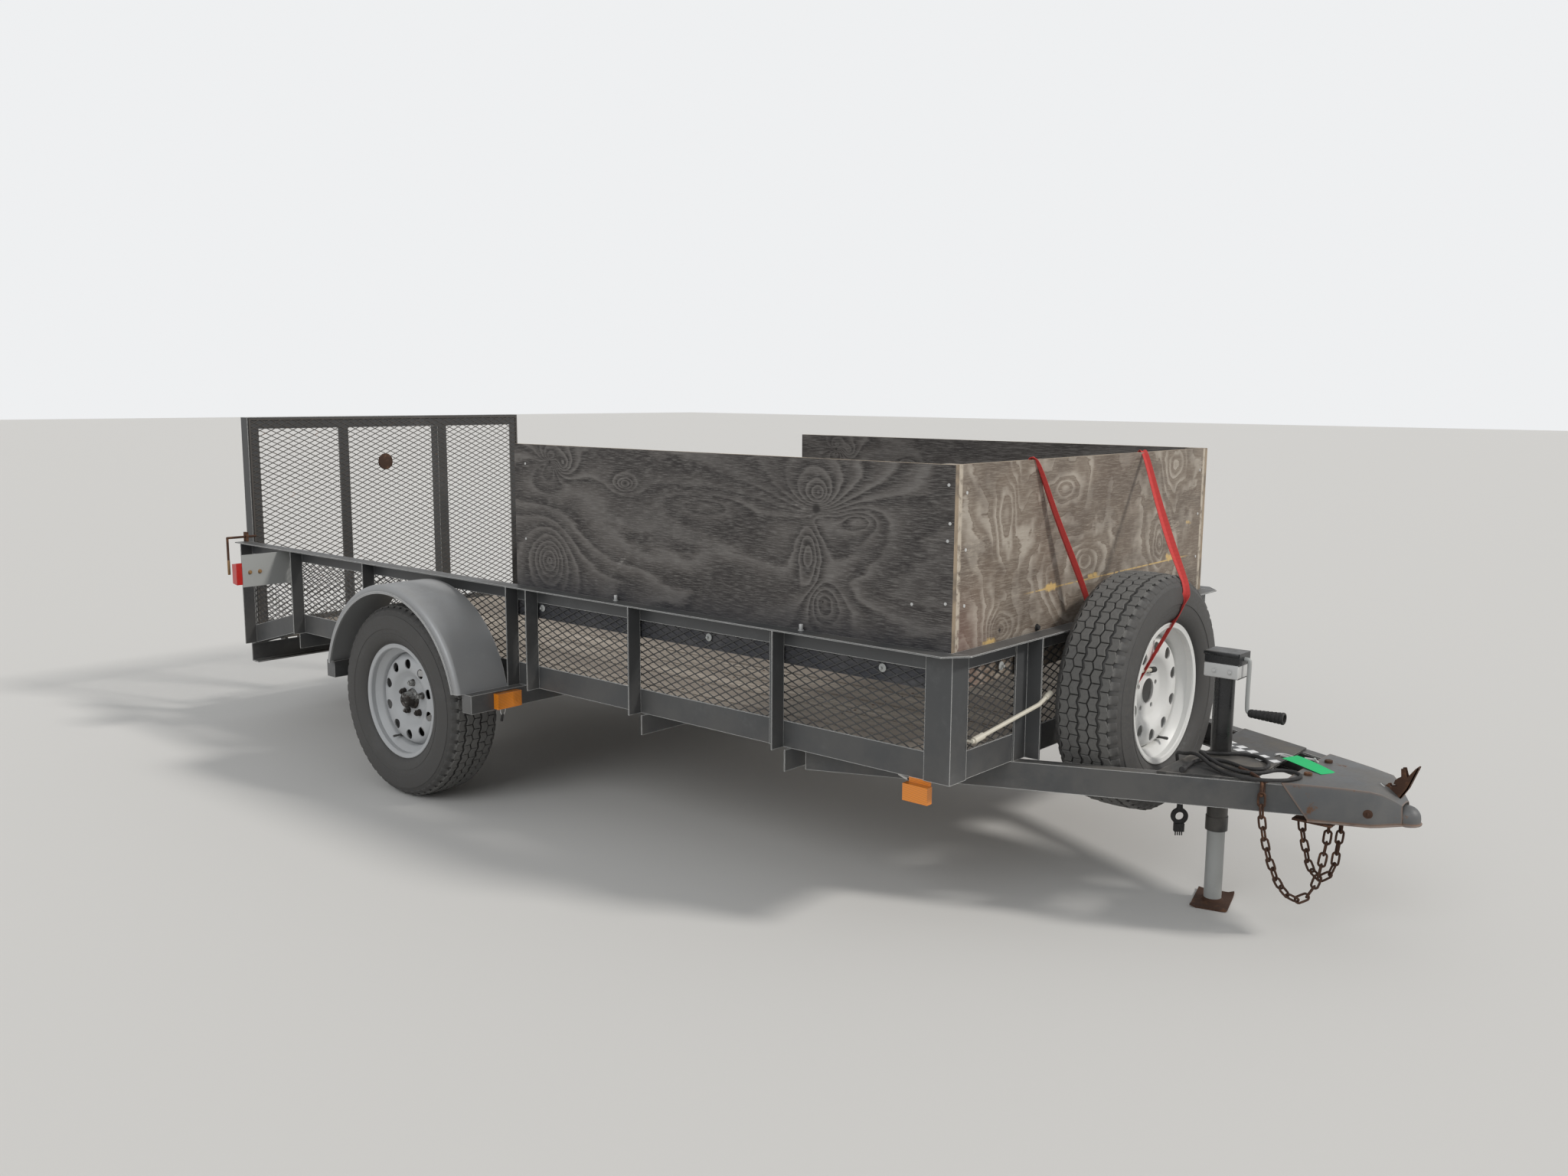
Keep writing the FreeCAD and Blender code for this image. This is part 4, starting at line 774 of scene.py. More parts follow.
def make_finishes():
    """The finish of each material slot, and those that only some pieces have."""
    made = {
        # The light edge colours of the charcoal, gate, end plate and fender paints are a painted highlight
        # along the edges as well as wear
        "frame_paint": worn_paint("charcoal paint", (0.098, 0.101, 0.104), (0.72, 0.72, 0.70), 0.75, 0.3,
                                  roughness=0.36),
        "mesh_steel": worn_paint("mesh paint", (0.062, 0.063, 0.064), (0.3, 0.29, 0.28), 0.25, 0.2, rust=0.1,
                                 radius=0.0012),
        "deck_wood": planks("deck wood"),
        "tyre_rubber": rubber("tyre rubber", (0.032, 0.033, 0.035), (0.19, 0.175, 0.155), 0.42,
                              (0.135, 0.132, 0.125)),
        # The road rims' enamel is darker than the spare's: dirt, and painted shade
        "rim_paint": worn_paint("rim enamel with painted shade", (0.46, 0.47, 0.48), (0.2, 0.16, 0.13), 0.25, 0.1, rust=0.06,
                                roughness=0.35, low=0.15, mottle=0.08, painted_inner_shade=(0.02, 0.019, 0.018)),
        "rusty_steel": rusted("rusty steel", (0.07, 0.035, 0.022), (0.27, 0.125, 0.06), (0.2, 0.17, 0.15),
                              0.75),
        "coupler_paint": worn_paint("coupler paint", (0.14, 0.145, 0.15), (0.25, 0.15, 0.1), 0.6, 0.3,
                                    rust=0.3,
                                    radius=0.008),
        "zinc": worn_paint("dull zinc", (0.42, 0.43, 0.42), (0.6, 0.6, 0.58), 0.3, 0.15, rust=0.12,
                           roughness=0.38, low=0.25, mottle=0.15),
        "jack_black": worn_paint("jack enamel", (0.018, 0.019, 0.021), (0.25, 0.25, 0.25), 0.35, 0.25,
                                 roughness=0.22),
        "amber_lens": lens("amber lens", (0.95, 0.3, 0.02)),
        "red_lens": lens("red lens", (0.62, 0.02, 0.015)),
        "strap_web": webbing("red webbing", (0.68, 0.07, 0.06), (0.36, 0.025, 0.025)),
        "cream_plastic": worn_paint("cream plastic", (0.66, 0.62, 0.52), (0.4, 0.35, 0.28), 0.2, 0.2, low=0.1,
                                    mottle=0.1),
        "lead_rubber": rubber("lead rubber", (0.014, 0.014, 0.015), (0.1, 0.09, 0.08), 0.2),
    }
    middle = nodes["ply_right"].bound_box[6][0]
    # Columns: along, up, width, height, eye, rings, lobes
    knots = [(-0.444, 1.108, 0.17, 0.10, 0.02, 0.0, 0.34), (-0.435, 1.154, 0.035, 0.035, 0.0, 0.3, 0.0),
             (-0.418, 0.857, 0.075, 0.075, 0.005, -0.6, 0.0), (-0.47, 0.985, 0.05, 0.13, 0.0, 0.5, 0.0),
             (-0.30, 1.085, 0.075, 0.035, 0.0, -0.4, 0.0), (-1.575, 0.87, 0.085, 0.09, 0.006, 0.7, 0.0),
             (-1.565, 1.19, 0.06, 0.05, 0.008, 0.0, 0.35), (-1.50, 1.185, 0.05, 0.04, 0.0, 0.5, 0.0),
             (-1.205, 1.138, 0.05, 0.025, 0.004, 0.5, 0.0), (-0.86, 1.09, 0.15, 0.04, 0.0, -0.35, 0.0)]
    knots = [(middle + along, *rest) for along, *rest in knots]
    dark_tones = ((0.014, 0.010, 0.009), (0.080, 0.070, 0.064), (0.235, 0.222, 0.208), (0.026, 0.021, 0.020))
    foot = ((0.022, 0.027, 0.040), 0.70, 0.90)
    made["side veneer"] = veneer("side veneer", dark_tones, knots, tint=foot, lines=8.5, wander=1.6,
                                 stretch=(0.5, 1.0, 1.5))
    made["far veneer"] = veneer("far veneer", dark_tones, knots[5:], tint=foot, lines=7.0, wander=1.7,
                                stretch=(0.5, 1.0, 1.5))
    rings = [(-0.51, 1.12, 0.07, 0.14, 0.0, 0.4, 0.0), (-0.525, 0.80, 0.08, 0.06, 0.008, 0.6, 0.0),
             (-0.07, 0.94, 0.10, 0.06, 0.0, -0.4, 0.0), (0.42, 0.95, 0.06, 0.07, 0.004, 0.4, 0.0),
             (0.52, 1.2, 0.07, 0.06, 0.0, -0.35, 0.0), (-0.2, 1.16, 0.09, 0.04, 0.0, 0.3, 0.0)]
    brown = ((0.40, 0.355, 0.30), (0.150, 0.112, 0.082), (0.33, 0.29, 0.24), (0.075, 0.053, 0.040))
    made["front veneer"] = veneer("front veneer", brown, rings, across=True, lines=9.0, wander=2.7,
                                  stretch=(1.2, 1.0, 0.8), scuff=0.4, extra=scarred, broken=0.85)
    made["batten wood"] = planks("batten wood")
    # The gate's mesh is lighter than the side mesh: painted light on its strands
    made["gate mesh paint with painted light"] = worn_paint("gate mesh paint with painted light", (0.115, 0.104, 0.094), (0.35, 0.33, 0.3), 0.15,
                                         0.3, rust=0.3, radius=0.0008)
    # The spare rim's enamel is lighter than the road rims': painted light
    made["spare enamel with painted light"] = worn_paint("spare enamel with painted light", (0.78, 0.78, 0.76), (0.3, 0.2, 0.13), 0.25, 0.1,
                                      rust=0.1,
                                      roughness=0.35, low=0.1, mottle=0.06)
    made["bright steel"] = worn_paint("bright steel", (0.6, 0.6, 0.59), (0.75, 0.75, 0.73), 0.3, 0.1,
                                      rust=0.1,
                                      roughness=0.3, low=0.1, mottle=0.1)
    # The gate's bars are a little darker than the frame's paint: painted shade
    made["gate paint with painted shade"] = worn_paint("gate paint with painted shade", (0.085, 0.086, 0.087), (0.72, 0.72, 0.7), 0.75, 0.3,
                                    roughness=0.4)
    made["end plate paint"] = worn_paint("end plate paint", (0.17, 0.172, 0.175), (0.72, 0.72, 0.7), 0.5, 0.3,
                                         rust=0.1)
    made["fender paint"] = worn_paint("fender paint", (0.36, 0.365, 0.37), (0.72, 0.72, 0.7), 0.7, 0.3,
                                      roughness=0.36, mottle=0.12, metallic=0.25)
    made["hub iron"] = rusted("hub iron", (0.035, 0.03, 0.027), (0.14, 0.1, 0.08), (0.3, 0.3, 0.29), 0.4)
    # The tongue plate's paint is darker than the frame's: painted shade on the plate
    made["plate paint"] = worn_paint("plate paint", (0.05, 0.05, 0.05), (0.4, 0.38, 0.35), 0.4, 0.5,
                                     rust=0.15)
    made["green card"] = worn_paint("green card", (0.0, 0.56, 0.17), (0.02, 0.7, 0.26), 0.1, 0.1, low=0.0,
                                    roughness=0.6, mottle=0.08)
    made["check tape"] = checkers("check tape")
    made["brown disc"] = rusted("brown disc", (0.05, 0.025, 0.015), (0.16, 0.08, 0.045), (0.2, 0.12, 0.08),
                                0.8, 0.0)
    made["white plastic"] = worn_paint("white plastic", (0.72, 0.72, 0.7), (0.5, 0.5, 0.48), 0.2, 0.15,
                                       low=0.1,
                                       mottle=0.06)
    made["brass"] = worn_paint("brass", (0.42, 0.24, 0.1), (0.6, 0.4, 0.2), 0.3, 0.1, rust=0.15,
                               roughness=0.35)
    return made


# Nodes whose finish isn't their slot's
SPECIAL = {"fender_right": "fender paint", "fender_left": "fender paint", "tongue_plate": "plate paint",
           "ply_right": "side veneer", "ply_left": "far veneer", "ply_front": "front veneer",
           "ply_battens": "batten wood", "gate_mesh": "gate mesh paint with painted light", "gate_frame": "gate paint with painted shade",
           "spare_rim": "spare enamel with painted light"}


def finish_nodes(finishes):
    """A finish for each node of the frame, by its material slot or, in a few cases, by its name."""
    slots = {part["node"]: part["material_slot"] for part in frame["record"]["subparts"]}
    for name, thing in nodes.items():
        thing.data.materials.clear()
        thing.data.materials.append(finishes[SPECIAL.get(name, slots[name])])


# Tyres: a lathed carcass with rows of tread blocks

def tyre_size():
    """Radius, half width and middle of the right tyre."""
    low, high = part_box("tyre_right")
    return (high.z - low.z) / 2, (high.y - low.y) / 2, (low + high) / 2


PITCHES = 56
RIB_PLACES = (-0.0585, -0.0295, 0.0, 0.0295, 0.0585)
RIB_WIDTH = 0.0235
BLOCK_LENGTH = 0.0352
BLOCK_ROOT = 0.004
ZIGZAG = 0.0045
GROOVE = 0.0085
# Fall of the tread's face towards its edges, for each square metre of the place across it
CROWN = 0.9
# Depth below the tyre's radius down to which the tread's tops are marked to be painted paler: road wear and
# painted light
TREAD_TOP = 0.0055


def carcass(radius, half):
    """Sidewalls with raised rings, and the floor of the tread's grooves."""
    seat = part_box("rim_right")
    bead = (seat[1].z - seat[0].z) / 2 - 0.0125
    side = [(0.0, radius - GROOVE), (0.036, radius - GROOVE - 0.0006), (0.068, radius - GROOVE - 0.002),
            (0.077, radius - 0.0105), (0.0835, radius - 0.0135), (0.0895, radius - 0.019),
            (0.0965, radius - 0.034), (0.0985, radius - 0.0345), (half - 0.0018, radius - 0.054),
            (half - 0.0004, radius - 0.072), (half - 0.0006, radius - 0.082), (half - 0.0022, radius - 0.083),
            (half - 0.0045, radius - 0.098), (half - 0.0035, radius - 0.0985), (half - 0.007, radius - 0.112),
            (half - 0.014, radius - 0.124), (0.0815, bead + 0.0175), (0.0795, bead + 0.0168),
            (0.078, bead + 0.01),
            (0.076, bead)]
    profile = [(-y, r) for y, r in reversed(side[1:])] + side
    return turned("tyre", profile + profile[:1], 96)


def tread_block(y, low, high, phase):
    """One block of a rib, bent to a shallow arrow so that the grooves run in a zigzag.

    Every other rib is turned by half a pitch.
    """
    made = block("block", (-BLOCK_LENGTH / 2, y - RIB_WIDTH / 2, low),
                 (BLOCK_LENGTH / 2, y + RIB_WIDTH / 2, high))
    edit(made, lambda: bpy.ops.mesh.bisect(plane_co=(0, 0, 0), plane_no=(1, 0, 0)))
    shift(made, lambda co: abs(co.x) < 1e-5, (0, ZIGZAG * phase, 0))
    shift(made, lambda co: abs(co.x) > 1e-5, (0, -ZIGZAG * phase / 2, 0))
    return rounded(made, 0.0013, 1, 40)


def shoulder_lug(side, radius):
    """Block on the tyre's shoulder, its outer end falling with the sidewall."""
    inner, outer, half_length = 0.0715, 0.0915, 0.0125
    root, face, fall = 0.017, 0.0048, 0.0135
    made = block("lug", (-half_length, inner, radius - root), (half_length, outer, radius - face))
    shift(made, lambda co: co.y > outer - 1e-5, (0, 0, -fall))
    rounded(made, 0.0015, 1, 40)
    return placed(made, Matrix.Scale(side, 4, (0, 1, 0)))


def treaded_tyre(radius, half):
    """A tyre round the origin, its axle along Y."""
    blocks = []
    for n, y in enumerate(RIB_PLACES):
        high = radius - 0.0006 - CROWN * y * y
        made = tread_block(y, radius - GROOVE - BLOCK_ROOT, high, 1 if n % 2 else -1)
        stagger = math.pi / PITCHES if n % 2 else 0.0
        blocks.append(placed(made, Matrix.Rotation(stagger, 4, "Y")))
    pitch = joined("pitch", blocks + [shoulder_lug(1, radius), shoulder_lug(-1, radius)])
    # Tread tops marked to be painted paler, as road wear and painted light
    marked(pitch, lambda co: math.hypot(co.x, co.z) > radius - TREAD_TOP)
    return joined("tyre", [carcass(radius, half), ring_of(pitch, PITCHES, "Y")])


def make_tyres(finishes):
    radius, half, _ = tyre_size()
    first = treaded_tyre(radius, half)
    places = wheel_places()
    for node_name, side in (("tyre_right", "right"), ("tyre_left", "left"), ("spare_tyre", "spare")):
        body, matrix = places[side]
        piece = placed(twin(first, "treaded_" + node_name), matrix)
        settle(piece, body, "tyre_rubber", finishes["tyre_rubber"], node_name)
    bpy.data.objects.remove(first)


# Rims: a rolled barrel with a dished disc of round vents, and hubs with their cap and nuts

# Columns: radius, place along the axle, outward negative; the barrel's outside, then its inside
BARREL = ((200.5, -82.0), (203.0, -80.5), (202.5, -78.0), (197.0, -77.0), (190.5, -74.0), (190.5, -60.0),
          (172.0, -44.0), (170.0, -40.0), (170.0, 26.0), (190.5, 48.0), (190.5, 76.0), (202.0, 78.0),
          (203.0, 81.0), (200.0, 82.0), (196.0, 79.5), (186.5, 77.0), (186.5, 50.0), (166.0, 28.0),
          (166.0, -39.0), (168.5, -44.5), (186.5, -61.0), (186.5, -76.0), (189.0, -79.5), (196.0, -80.5))
DISH = ((36, -27), (38, -24), (72, -24), (82, -27), (96, -40), (106, -45), (118, -47), (138, -46), (148, -43),
        (155, -36), (160, -26), (165, -20), (165.8, -6))
DISC_WALL = 4
# The barrel's inside, behind this place along the axle, is painted near black: painted shade
BARREL_BEHIND = -0.03
VENTS, VENT_CIRCLE, VENT_R = 10, 0.127, 0.0175
LUGS, LUG_CIRCLE, LUG_HOLE = 5, 0.05715, 0.0075
# The cutters start outside the disc, turned a little so that they miss the disc's own edges
CUT_FROM, CUT_TURN_DEG = -0.08, 1.3
# Columns: outer end, inner end, radius, sides
NUT, SEAT, STUD = (-0.040, -0.024, 0.0118, 6), (-0.027, -0.022, 0.0125, 20), (-0.045, -0.030, 0.006, 12)
# Columns: place along the axle, radius
HUB = ((-66, 0), (-66, 20), (-62, 25), (-58, 26.5), (-36, 28), (-33, 34), (-30, 35), (-4, 35), (-4, 38),
       (4, 38),
       (4, 72), (12, 72), (16, 38), (62, 34), (62, 22), (40, 22), (40, 0))


def modelled_rim():
    """A rim round the origin, its outer face at -Y."""
    barrel = turned("barrel", [(y / 1000, r / 1000) for r, y in (*BARREL, BARREL[0])], 96)
    marked(barrel, lambda co: co.y > BARREL_BEHIND)
    back = [(r, y + DISC_WALL) for r, y in reversed(DISH)]
    disc = turned("disc", [(y / 1000, r / 1000) for r, y in (*DISH, *back, DISH[0])], 80)
    vents = ring_of(drum("vents", (0, CUT_FROM, VENT_CIRCLE), (0, 0, VENT_CIRCLE), VENT_R, 28), VENTS, "Y")
    lugs = ring_of(drum("lugs", (0, CUT_FROM, LUG_CIRCLE), (0, 0, LUG_CIRCLE), LUG_HOLE, 16), LUGS, "Y")
    for cutter in (vents, lugs):
        placed(cutter, Matrix.Rotation(math.radians(CUT_TURN_DEG), 4, "Y"))
        modified(disc, "BOOLEAN", operation="DIFFERENCE", object=cutter)
        bpy.data.objects.remove(cutter)
    return joined("rim", [barrel, disc])


def on_lug_circle(name, outer, inner, radius, sides):
    return drum(name, (0, outer, LUG_CIRCLE), (0, inner, LUG_CIRCLE), radius, sides)


def modelled_hub():
    """A hub round the origin, with a nut on its seat and a stud at each lug."""
    body = turned("hub", [(y / 1000, max(r, 0.1) / 1000) for y, r in HUB], 32)
    nut = rounded(on_lug_circle("nut", *NUT), 0.0018, 2, 40)
    seat, stud = on_lug_circle("seat", *SEAT), on_lug_circle("stud", *STUD)
    return joined("hub", [body, ring_of(joined("nuts", [nut, seat, stud]), LUGS, "Y")])


def wheel_places():
    """Bodies and places of the three wheels: each matrix turns a wheel's outer face, -Y, to its side."""
    middle = tyre_size()[2]
    spare_low, spare_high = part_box("spare_tyre")
    right = Matrix.Translation(middle)
    left = Matrix.Translation((middle.x, -middle.y, middle.z)) @ Matrix.Rotation(math.pi, 4, "Z")
    spare = Matrix.Translation((spare_low + spare_high) / 2) @ Matrix.Rotation(math.pi / 2, 4, "Z")
    return {"right": ("wheel_right", right), "left": ("wheel_left", left), "spare": ("root", spare)}


def make_rims(finishes):
    places = wheel_places()
    rim = modelled_rim()
    hub = modelled_hub()
    for side in ("right", "left"):
        body, matrix = places[side]
        settle(placed(twin(rim, "vented_rim_" + side), matrix), body, "rim_paint", finishes["rim_paint"],
               "rim_" + side)
        settle(placed(twin(hub, "capped_hub_" + side), matrix), body, "rusty_steel", finishes["hub iron"],
               "hub_" + side, smooth_deg=30)
    settle(placed(twin(rim, "vented_rim_spare"), places["spare"][1]), "root", "rim_paint",
           finishes["spare enamel with painted light"],
           "spare_rim")
    bpy.data.objects.remove(rim)
    bpy.data.objects.remove(hub)


VALVE_TURNS = {"right": 3.6, "left": 1.2, "spare": 2.75}
VALVE_AT = (0, -0.030, 0.158)
# Columns: place along the stem, radius
VALVE = ((0.0, 0.0001), (0.0, 0.0055), (-0.008, 0.005), (-0.012, 0.0036), (-0.026, 0.0036), (-0.0262, 0.0044),
         (-0.036, 0.0044), (-0.038, 0.003), (-0.038, 0.0001))


def make_valves(finishes):
    """A valve stem through each rim's dish."""
    one = turned("valve", VALVE, 12)
    for side, (body, matrix) in wheel_places().items():
        turn = Matrix.Rotation(VALVE_TURNS[side], 4, "Y")
        piece = placed(twin(one, "valve_" + side), matrix @ turn @ Matrix.Translation(VALVE_AT))
        settle(piece, body, "tyre_rubber", finishes["tyre_rubber"])
    bpy.data.objects.remove(one)


# Safety chains: round links laid in the places of the frame's links

LINK_WIRE = 0.0031


def round_link(length, width):
    """A torus drawn out along X to a link."""
    clear_selection()
    bpy.ops.mesh.primitive_torus_add(major_segments=20, minor_segments=8, major_radius=width / 2 - LINK_WIRE,
                                     minor_radius=LINK_WIRE)
    made = named("link")
    reach = (length - width) / 2
    shift(made, lambda co: co.x > 1e-5, (reach, 0, 0))
    shift(made, lambda co: co.x < -1e-5, (-reach, 0, 0))
    return made


def loose_parts(name):
    """The separate solids of a node, as pieces of their own."""
    whole = twin(nodes[name], "whole")
    edit(whole, lambda: bpy.ops.mesh.remove_doubles(threshold=1e-5),
         lambda: bpy.ops.mesh.separate(type="LOOSE"))
    return list(bpy.context.selected_objects)


def own_axes(piece):
    """Middle of a piece and its axes, longest first, with the extent along each."""
    points = np.array([v.co for v in piece.data.vertices])
    middle = (points.max(0) + points.min(0)) / 2
    values, vectors = np.linalg.eigh(np.cov((points - points.mean(0)).T))
    axes = [Vector(vectors[:, n]) for n in (2, 1, 0)]
    spans = [float(np.ptp(points @ np.array(axis))) for axis in axes]
    centre = sum((axis * float((points @ np.array(axis)).max() + (points @ np.array(axis)).min()) / 2
                  for axis in axes), Vector((0, 0, 0)))
    return centre, axes, spans


def make_chains(finishes):
    """A round link in the place of each plain one: the chains' other solids get rounded edges."""
    parts = loose_parts("safety_chains")
    counts = [len(part.data.vertices) for part in parts]
    common = max(set(counts), key=counts.count)
    pieces, model = [], None
    for part in parts:
        if len(part.data.vertices) != common:
            edit(part, lambda: bpy.ops.mesh.dissolve_limited(angle_limit=math.radians(2)))
            pieces.append(rounded(part, 0.0012, 2))
            continue
        centre, (along, across, flat), (length, width, thick) = own_axes(part)
        if model is None:
            model = round_link(length, width)
        turn = Matrix((along, across, along.cross(across))).transposed().to_4x4()
        pieces.append(placed(twin(model, "link"), Matrix.Translation(centre) @ turn))
        bpy.data.objects.remove(part)
    bpy.data.objects.remove(model)
    chain = joined("round_chains", pieces)
    settle(chain, "root", "rusty_steel", finishes["rusty_steel"], "safety_chains", smooth_deg=50)


# Strap: webbing folded along its middle, tied from the front board's edge to the spare

STRAP_LEFT = ((-25.6, -372, 1195), (-24.4, -372, 1246), (-9, -368, 1246), (12, -290, 1085), (30, -222, 962),
              (45, -165, 858), (49, -138, 808), (56, -120, 780), (62, -103, 740), (67, -88, 712),
              (105, -57, 634))
STRAP_RIGHT = ((-25.6, 288, 1195), (-24.4, 288, 1246), (-9, 284, 1246), (80, 192, 1114), (165, 106, 1000),
               (238, 37, 914), (254, 28, 886), (260.5, 24, 855), (257, 17, 822), (216, -36, 711),
               (178, -85, 606))
# Share of the full width at each point of the route
LEFT_SHARES = (1, 1, 0.8, 0.9, 1.1, 0.9, 0.7, 0.6, 0.55, 0.5, 0.4)
RIGHT_SHARES = (1, 1, 0.8, 0.9, 1.1, 0.9, 0.9, 0.9, 0.85, 0.7, 0.5)
FOLD_HALF, FOLD_DEEP, WEB_THICK = 0.0125, 0.006, 0.0014
# The toggle peg and its rubber foot, in bed places, with their radii in metres
PEG_FROM, PEG_TO, PEG_FOOT_TO = (185.5, -142, 654), (185.5, -20, 641), (185.5, 8, 638.5)
PEG_R, PEG_FOOT_R = 0.006, 0.0085


def folded_web(name, route, shares):
    """Webbing with a crease down its middle: it gathers to a narrow band towards its ends."""
    fold = bpy.data.curves.new("fold", "CURVE")
    fold.dimensions = "2D"
    edge = fold.splines.new("POLY")
    edge.points.add(2)
    for knot, (x, y) in zip(edge.points, ((-FOLD_HALF, FOLD_DEEP), (0, 0), (FOLD_HALF, FOLD_DEEP))):
        knot.co = (x, y, 0, 1)
    shape = bpy.data.objects.new("fold", fold)
    bpy.context.scene.collection.objects.link(shape)
    band = drawn(name, [bed(*point) for point in route], twist_mode="Z_UP", bevel_mode="OBJECT",
                 bevel_object=shape,
                 resolution_u=8)
    for knot, share in zip(band.data.splines[0].points, shares):
        knot.radius = share
    made = meshed(band)
    bpy.data.objects.remove(shape)
    return modified(made, "SOLIDIFY", thickness=WEB_THICK, offset=0)


def make_strap(finishes):
    """Both ends of the strap, and the toggle peg with its rubber foot."""
    pieces = [folded_web("web_left", STRAP_LEFT, LEFT_SHARES),
              folded_web("web_right", STRAP_RIGHT, RIGHT_SHARES)]
    settle(joined("folded_strap", pieces), "root", "strap_web", finishes["strap_web"], "strap", smooth_deg=30)
    body = rounded(drum("peg", bed(*PEG_FROM), bed(*PEG_TO), PEG_R, 20), 0.0015, 2)
    settle(body, "root", "cream_plastic", finishes["cream_plastic"])
    foot = rounded(drum("peg_foot", bed(*PEG_TO), bed(*PEG_FOOT_TO), PEG_FOOT_R, 20), 0.002, 2)
    settle(foot, "root", "lead_rubber", finishes["lead_rubber"])


# Wiring lead: a free cord, its points in bed places

LEAD_RADIUS = 0.005
LEAD_ROUTE = [(400, -250, 444), (397, -226, 443), (392, -196, 441.7), (390, -162, 442), (397, -130, 441.6),
              (420, -107, 442), (454, -104, 441.6), (483, -117, 441.9), (510, -131, 441.6), (539, -130, 442),
              (559, -107, 441.8), (558, -77, 442), (546, -44, 441.7), (524, -15, 441.9), (493, 2, 441.6),
              (462, 0, 441.7), (436, -19, 442), (407, -50, 443), (383, -81, 448), (381, -111, 458),
              (398, -138, 463), (430, -154, 454), (470, -163, 443), (510, -173, 441.7), (542, -170, 442),
              (566, -153, 441.8), (577, -128, 442), (584, -102, 441.9), (605, -86, 442.2), (632, -86, 441.8),
              (653, -103, 442), (659, -129, 441.8), (649, -157, 442), (630, -185, 441.7), (603, -207, 442),
              (572, -219, 441.7), (538, -222, 442), (503, -216, 441.8), (468, -200, 443), (436, -182, 450),
              (408, -168, 461), (378, -150, 461), (352, -131, 450), (328, -110, 443), (309, -88, 437),
              (297, -66, 422), (292, -46, 398), (293, -33, 366), (297, -27, 332), (297, -27, 300)]


def lay_lead(finishes):
    lead = drawn("free_lead", [bed(*point) for point in LEAD_ROUTE], bevel_depth=LEAD_RADIUS,
                 bevel_resolution=3,
                 resolution_u=10)
    lead.data.materials.append(finishes["lead_rubber"])
    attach(lead, "root")
    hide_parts("wiring_lead")


# Jack: bent crank with a ribbed grip, the head's bracket and cap, and the foot

ROD_R = 0.0058
GRIP_RIBS = 8


def make_crank(finishes):
    """The rod from the head down to its grip, and the grip's ribs, wider towards its end."""
    low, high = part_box("jack_crank")
    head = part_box("jack_head")[1].x
    axis_z = high.z - 0.006
    arm_x = head + 0.013
    foot_z = low.z + 0.017
    rod = wire("crank_rod", [(head - 0.002, 0, axis_z), (head + 0.006, 0, axis_z), (arm_x, 0, axis_z - 0.001),
                             (arm_x + 0.001, 0, axis_z - 0.016), (arm_x, 0, (axis_z + foot_z) / 2),
                             (arm_x, 0, foot_z + 0.018), (arm_x + 0.002, 0, foot_z + 0.002),
                             (arm_x + 0.014, 0, foot_z), (arm_x + 0.05, 0, foot_z)], ROD_R, sides=3)
    settle(rod, "root", "zinc", finishes["zinc"], "jack_crank", smooth_deg=50)
    start, end = arm_x + 0.006, high.x
    profile = [(start, 0.0001), (start, 0.009), (start + 0.003, 0.0105)]
    step = (end - start - 0.012) / GRIP_RIBS
    for n in range(GRIP_RIBS):
        here = start + 0.004 + step * n
        r = 0.0112 + 0.0048 * n / GRIP_RIBS
        profile += [(here, r), (here + step * 0.62, r + 0.0008), (here + step * 0.66, r - 0.0009),
                    (here + step * 0.96, r - 0.0008)]
    profile += [(end - 0.007, 0.0168), (end - 0.002, 0.0168), (end, 0.015), (end, 0.0115),
                (end - 0.012, 0.0105),
                (end - 0.012, 0.0001)]
    grip = turned("crank_grip", profile, 24, axis="X")
    placed(grip, Matrix.Translation((0, 0, foot_z)))
    settle(grip, "root", "lead_rubber", finishes["lead_rubber"])


def make_head_bracket(finishes):
    """Bright bracket under the jack head's cap, with its two screws."""
    low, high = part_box("jack_head")
    proud = Vector((0.0012, 0.0012, 0))
    top = low.z + 0.55 * (high.z - low.z)
    bracket = rounded(block("head_bracket", low - proud, Vector((high.x - 0.004, high.y, top)) + proud),
                      0.004, 3)
    settle(bracket, "root", "zinc", finishes["bright steel"])
    cap = rounded(block("head_cap", (low.x - 0.004, low.y - 0.003, high.z - 0.011),
                        (high.x - 0.002, high.y + 0.003, high.z - 0.0002)), 0.003, 2)
    settle(cap, "root", "jack_black", finishes["jack_black"])
    screws = [Vector((low.x + share * (high.x - low.x), low.y - 0.0015, (low.z + top) / 2))
              for share in (0.3, 0.75)]
    settle(laid("head_screws", hex_bolt(0.0055, 0.004), screws, (0, -1, 0)), "root", "zinc",
           finishes["bright steel"])


FOOT_X, FOOT_Y, FOOT_TURN_DEG = 0.100, 0.150, 14.0
# The foot's corners bend up outside this share of its half sizes: one diagonal pair more than the other
CORNER_FROM, CORNER_HIGH, CORNER_LOW = 0.78, 0.006, 0.003


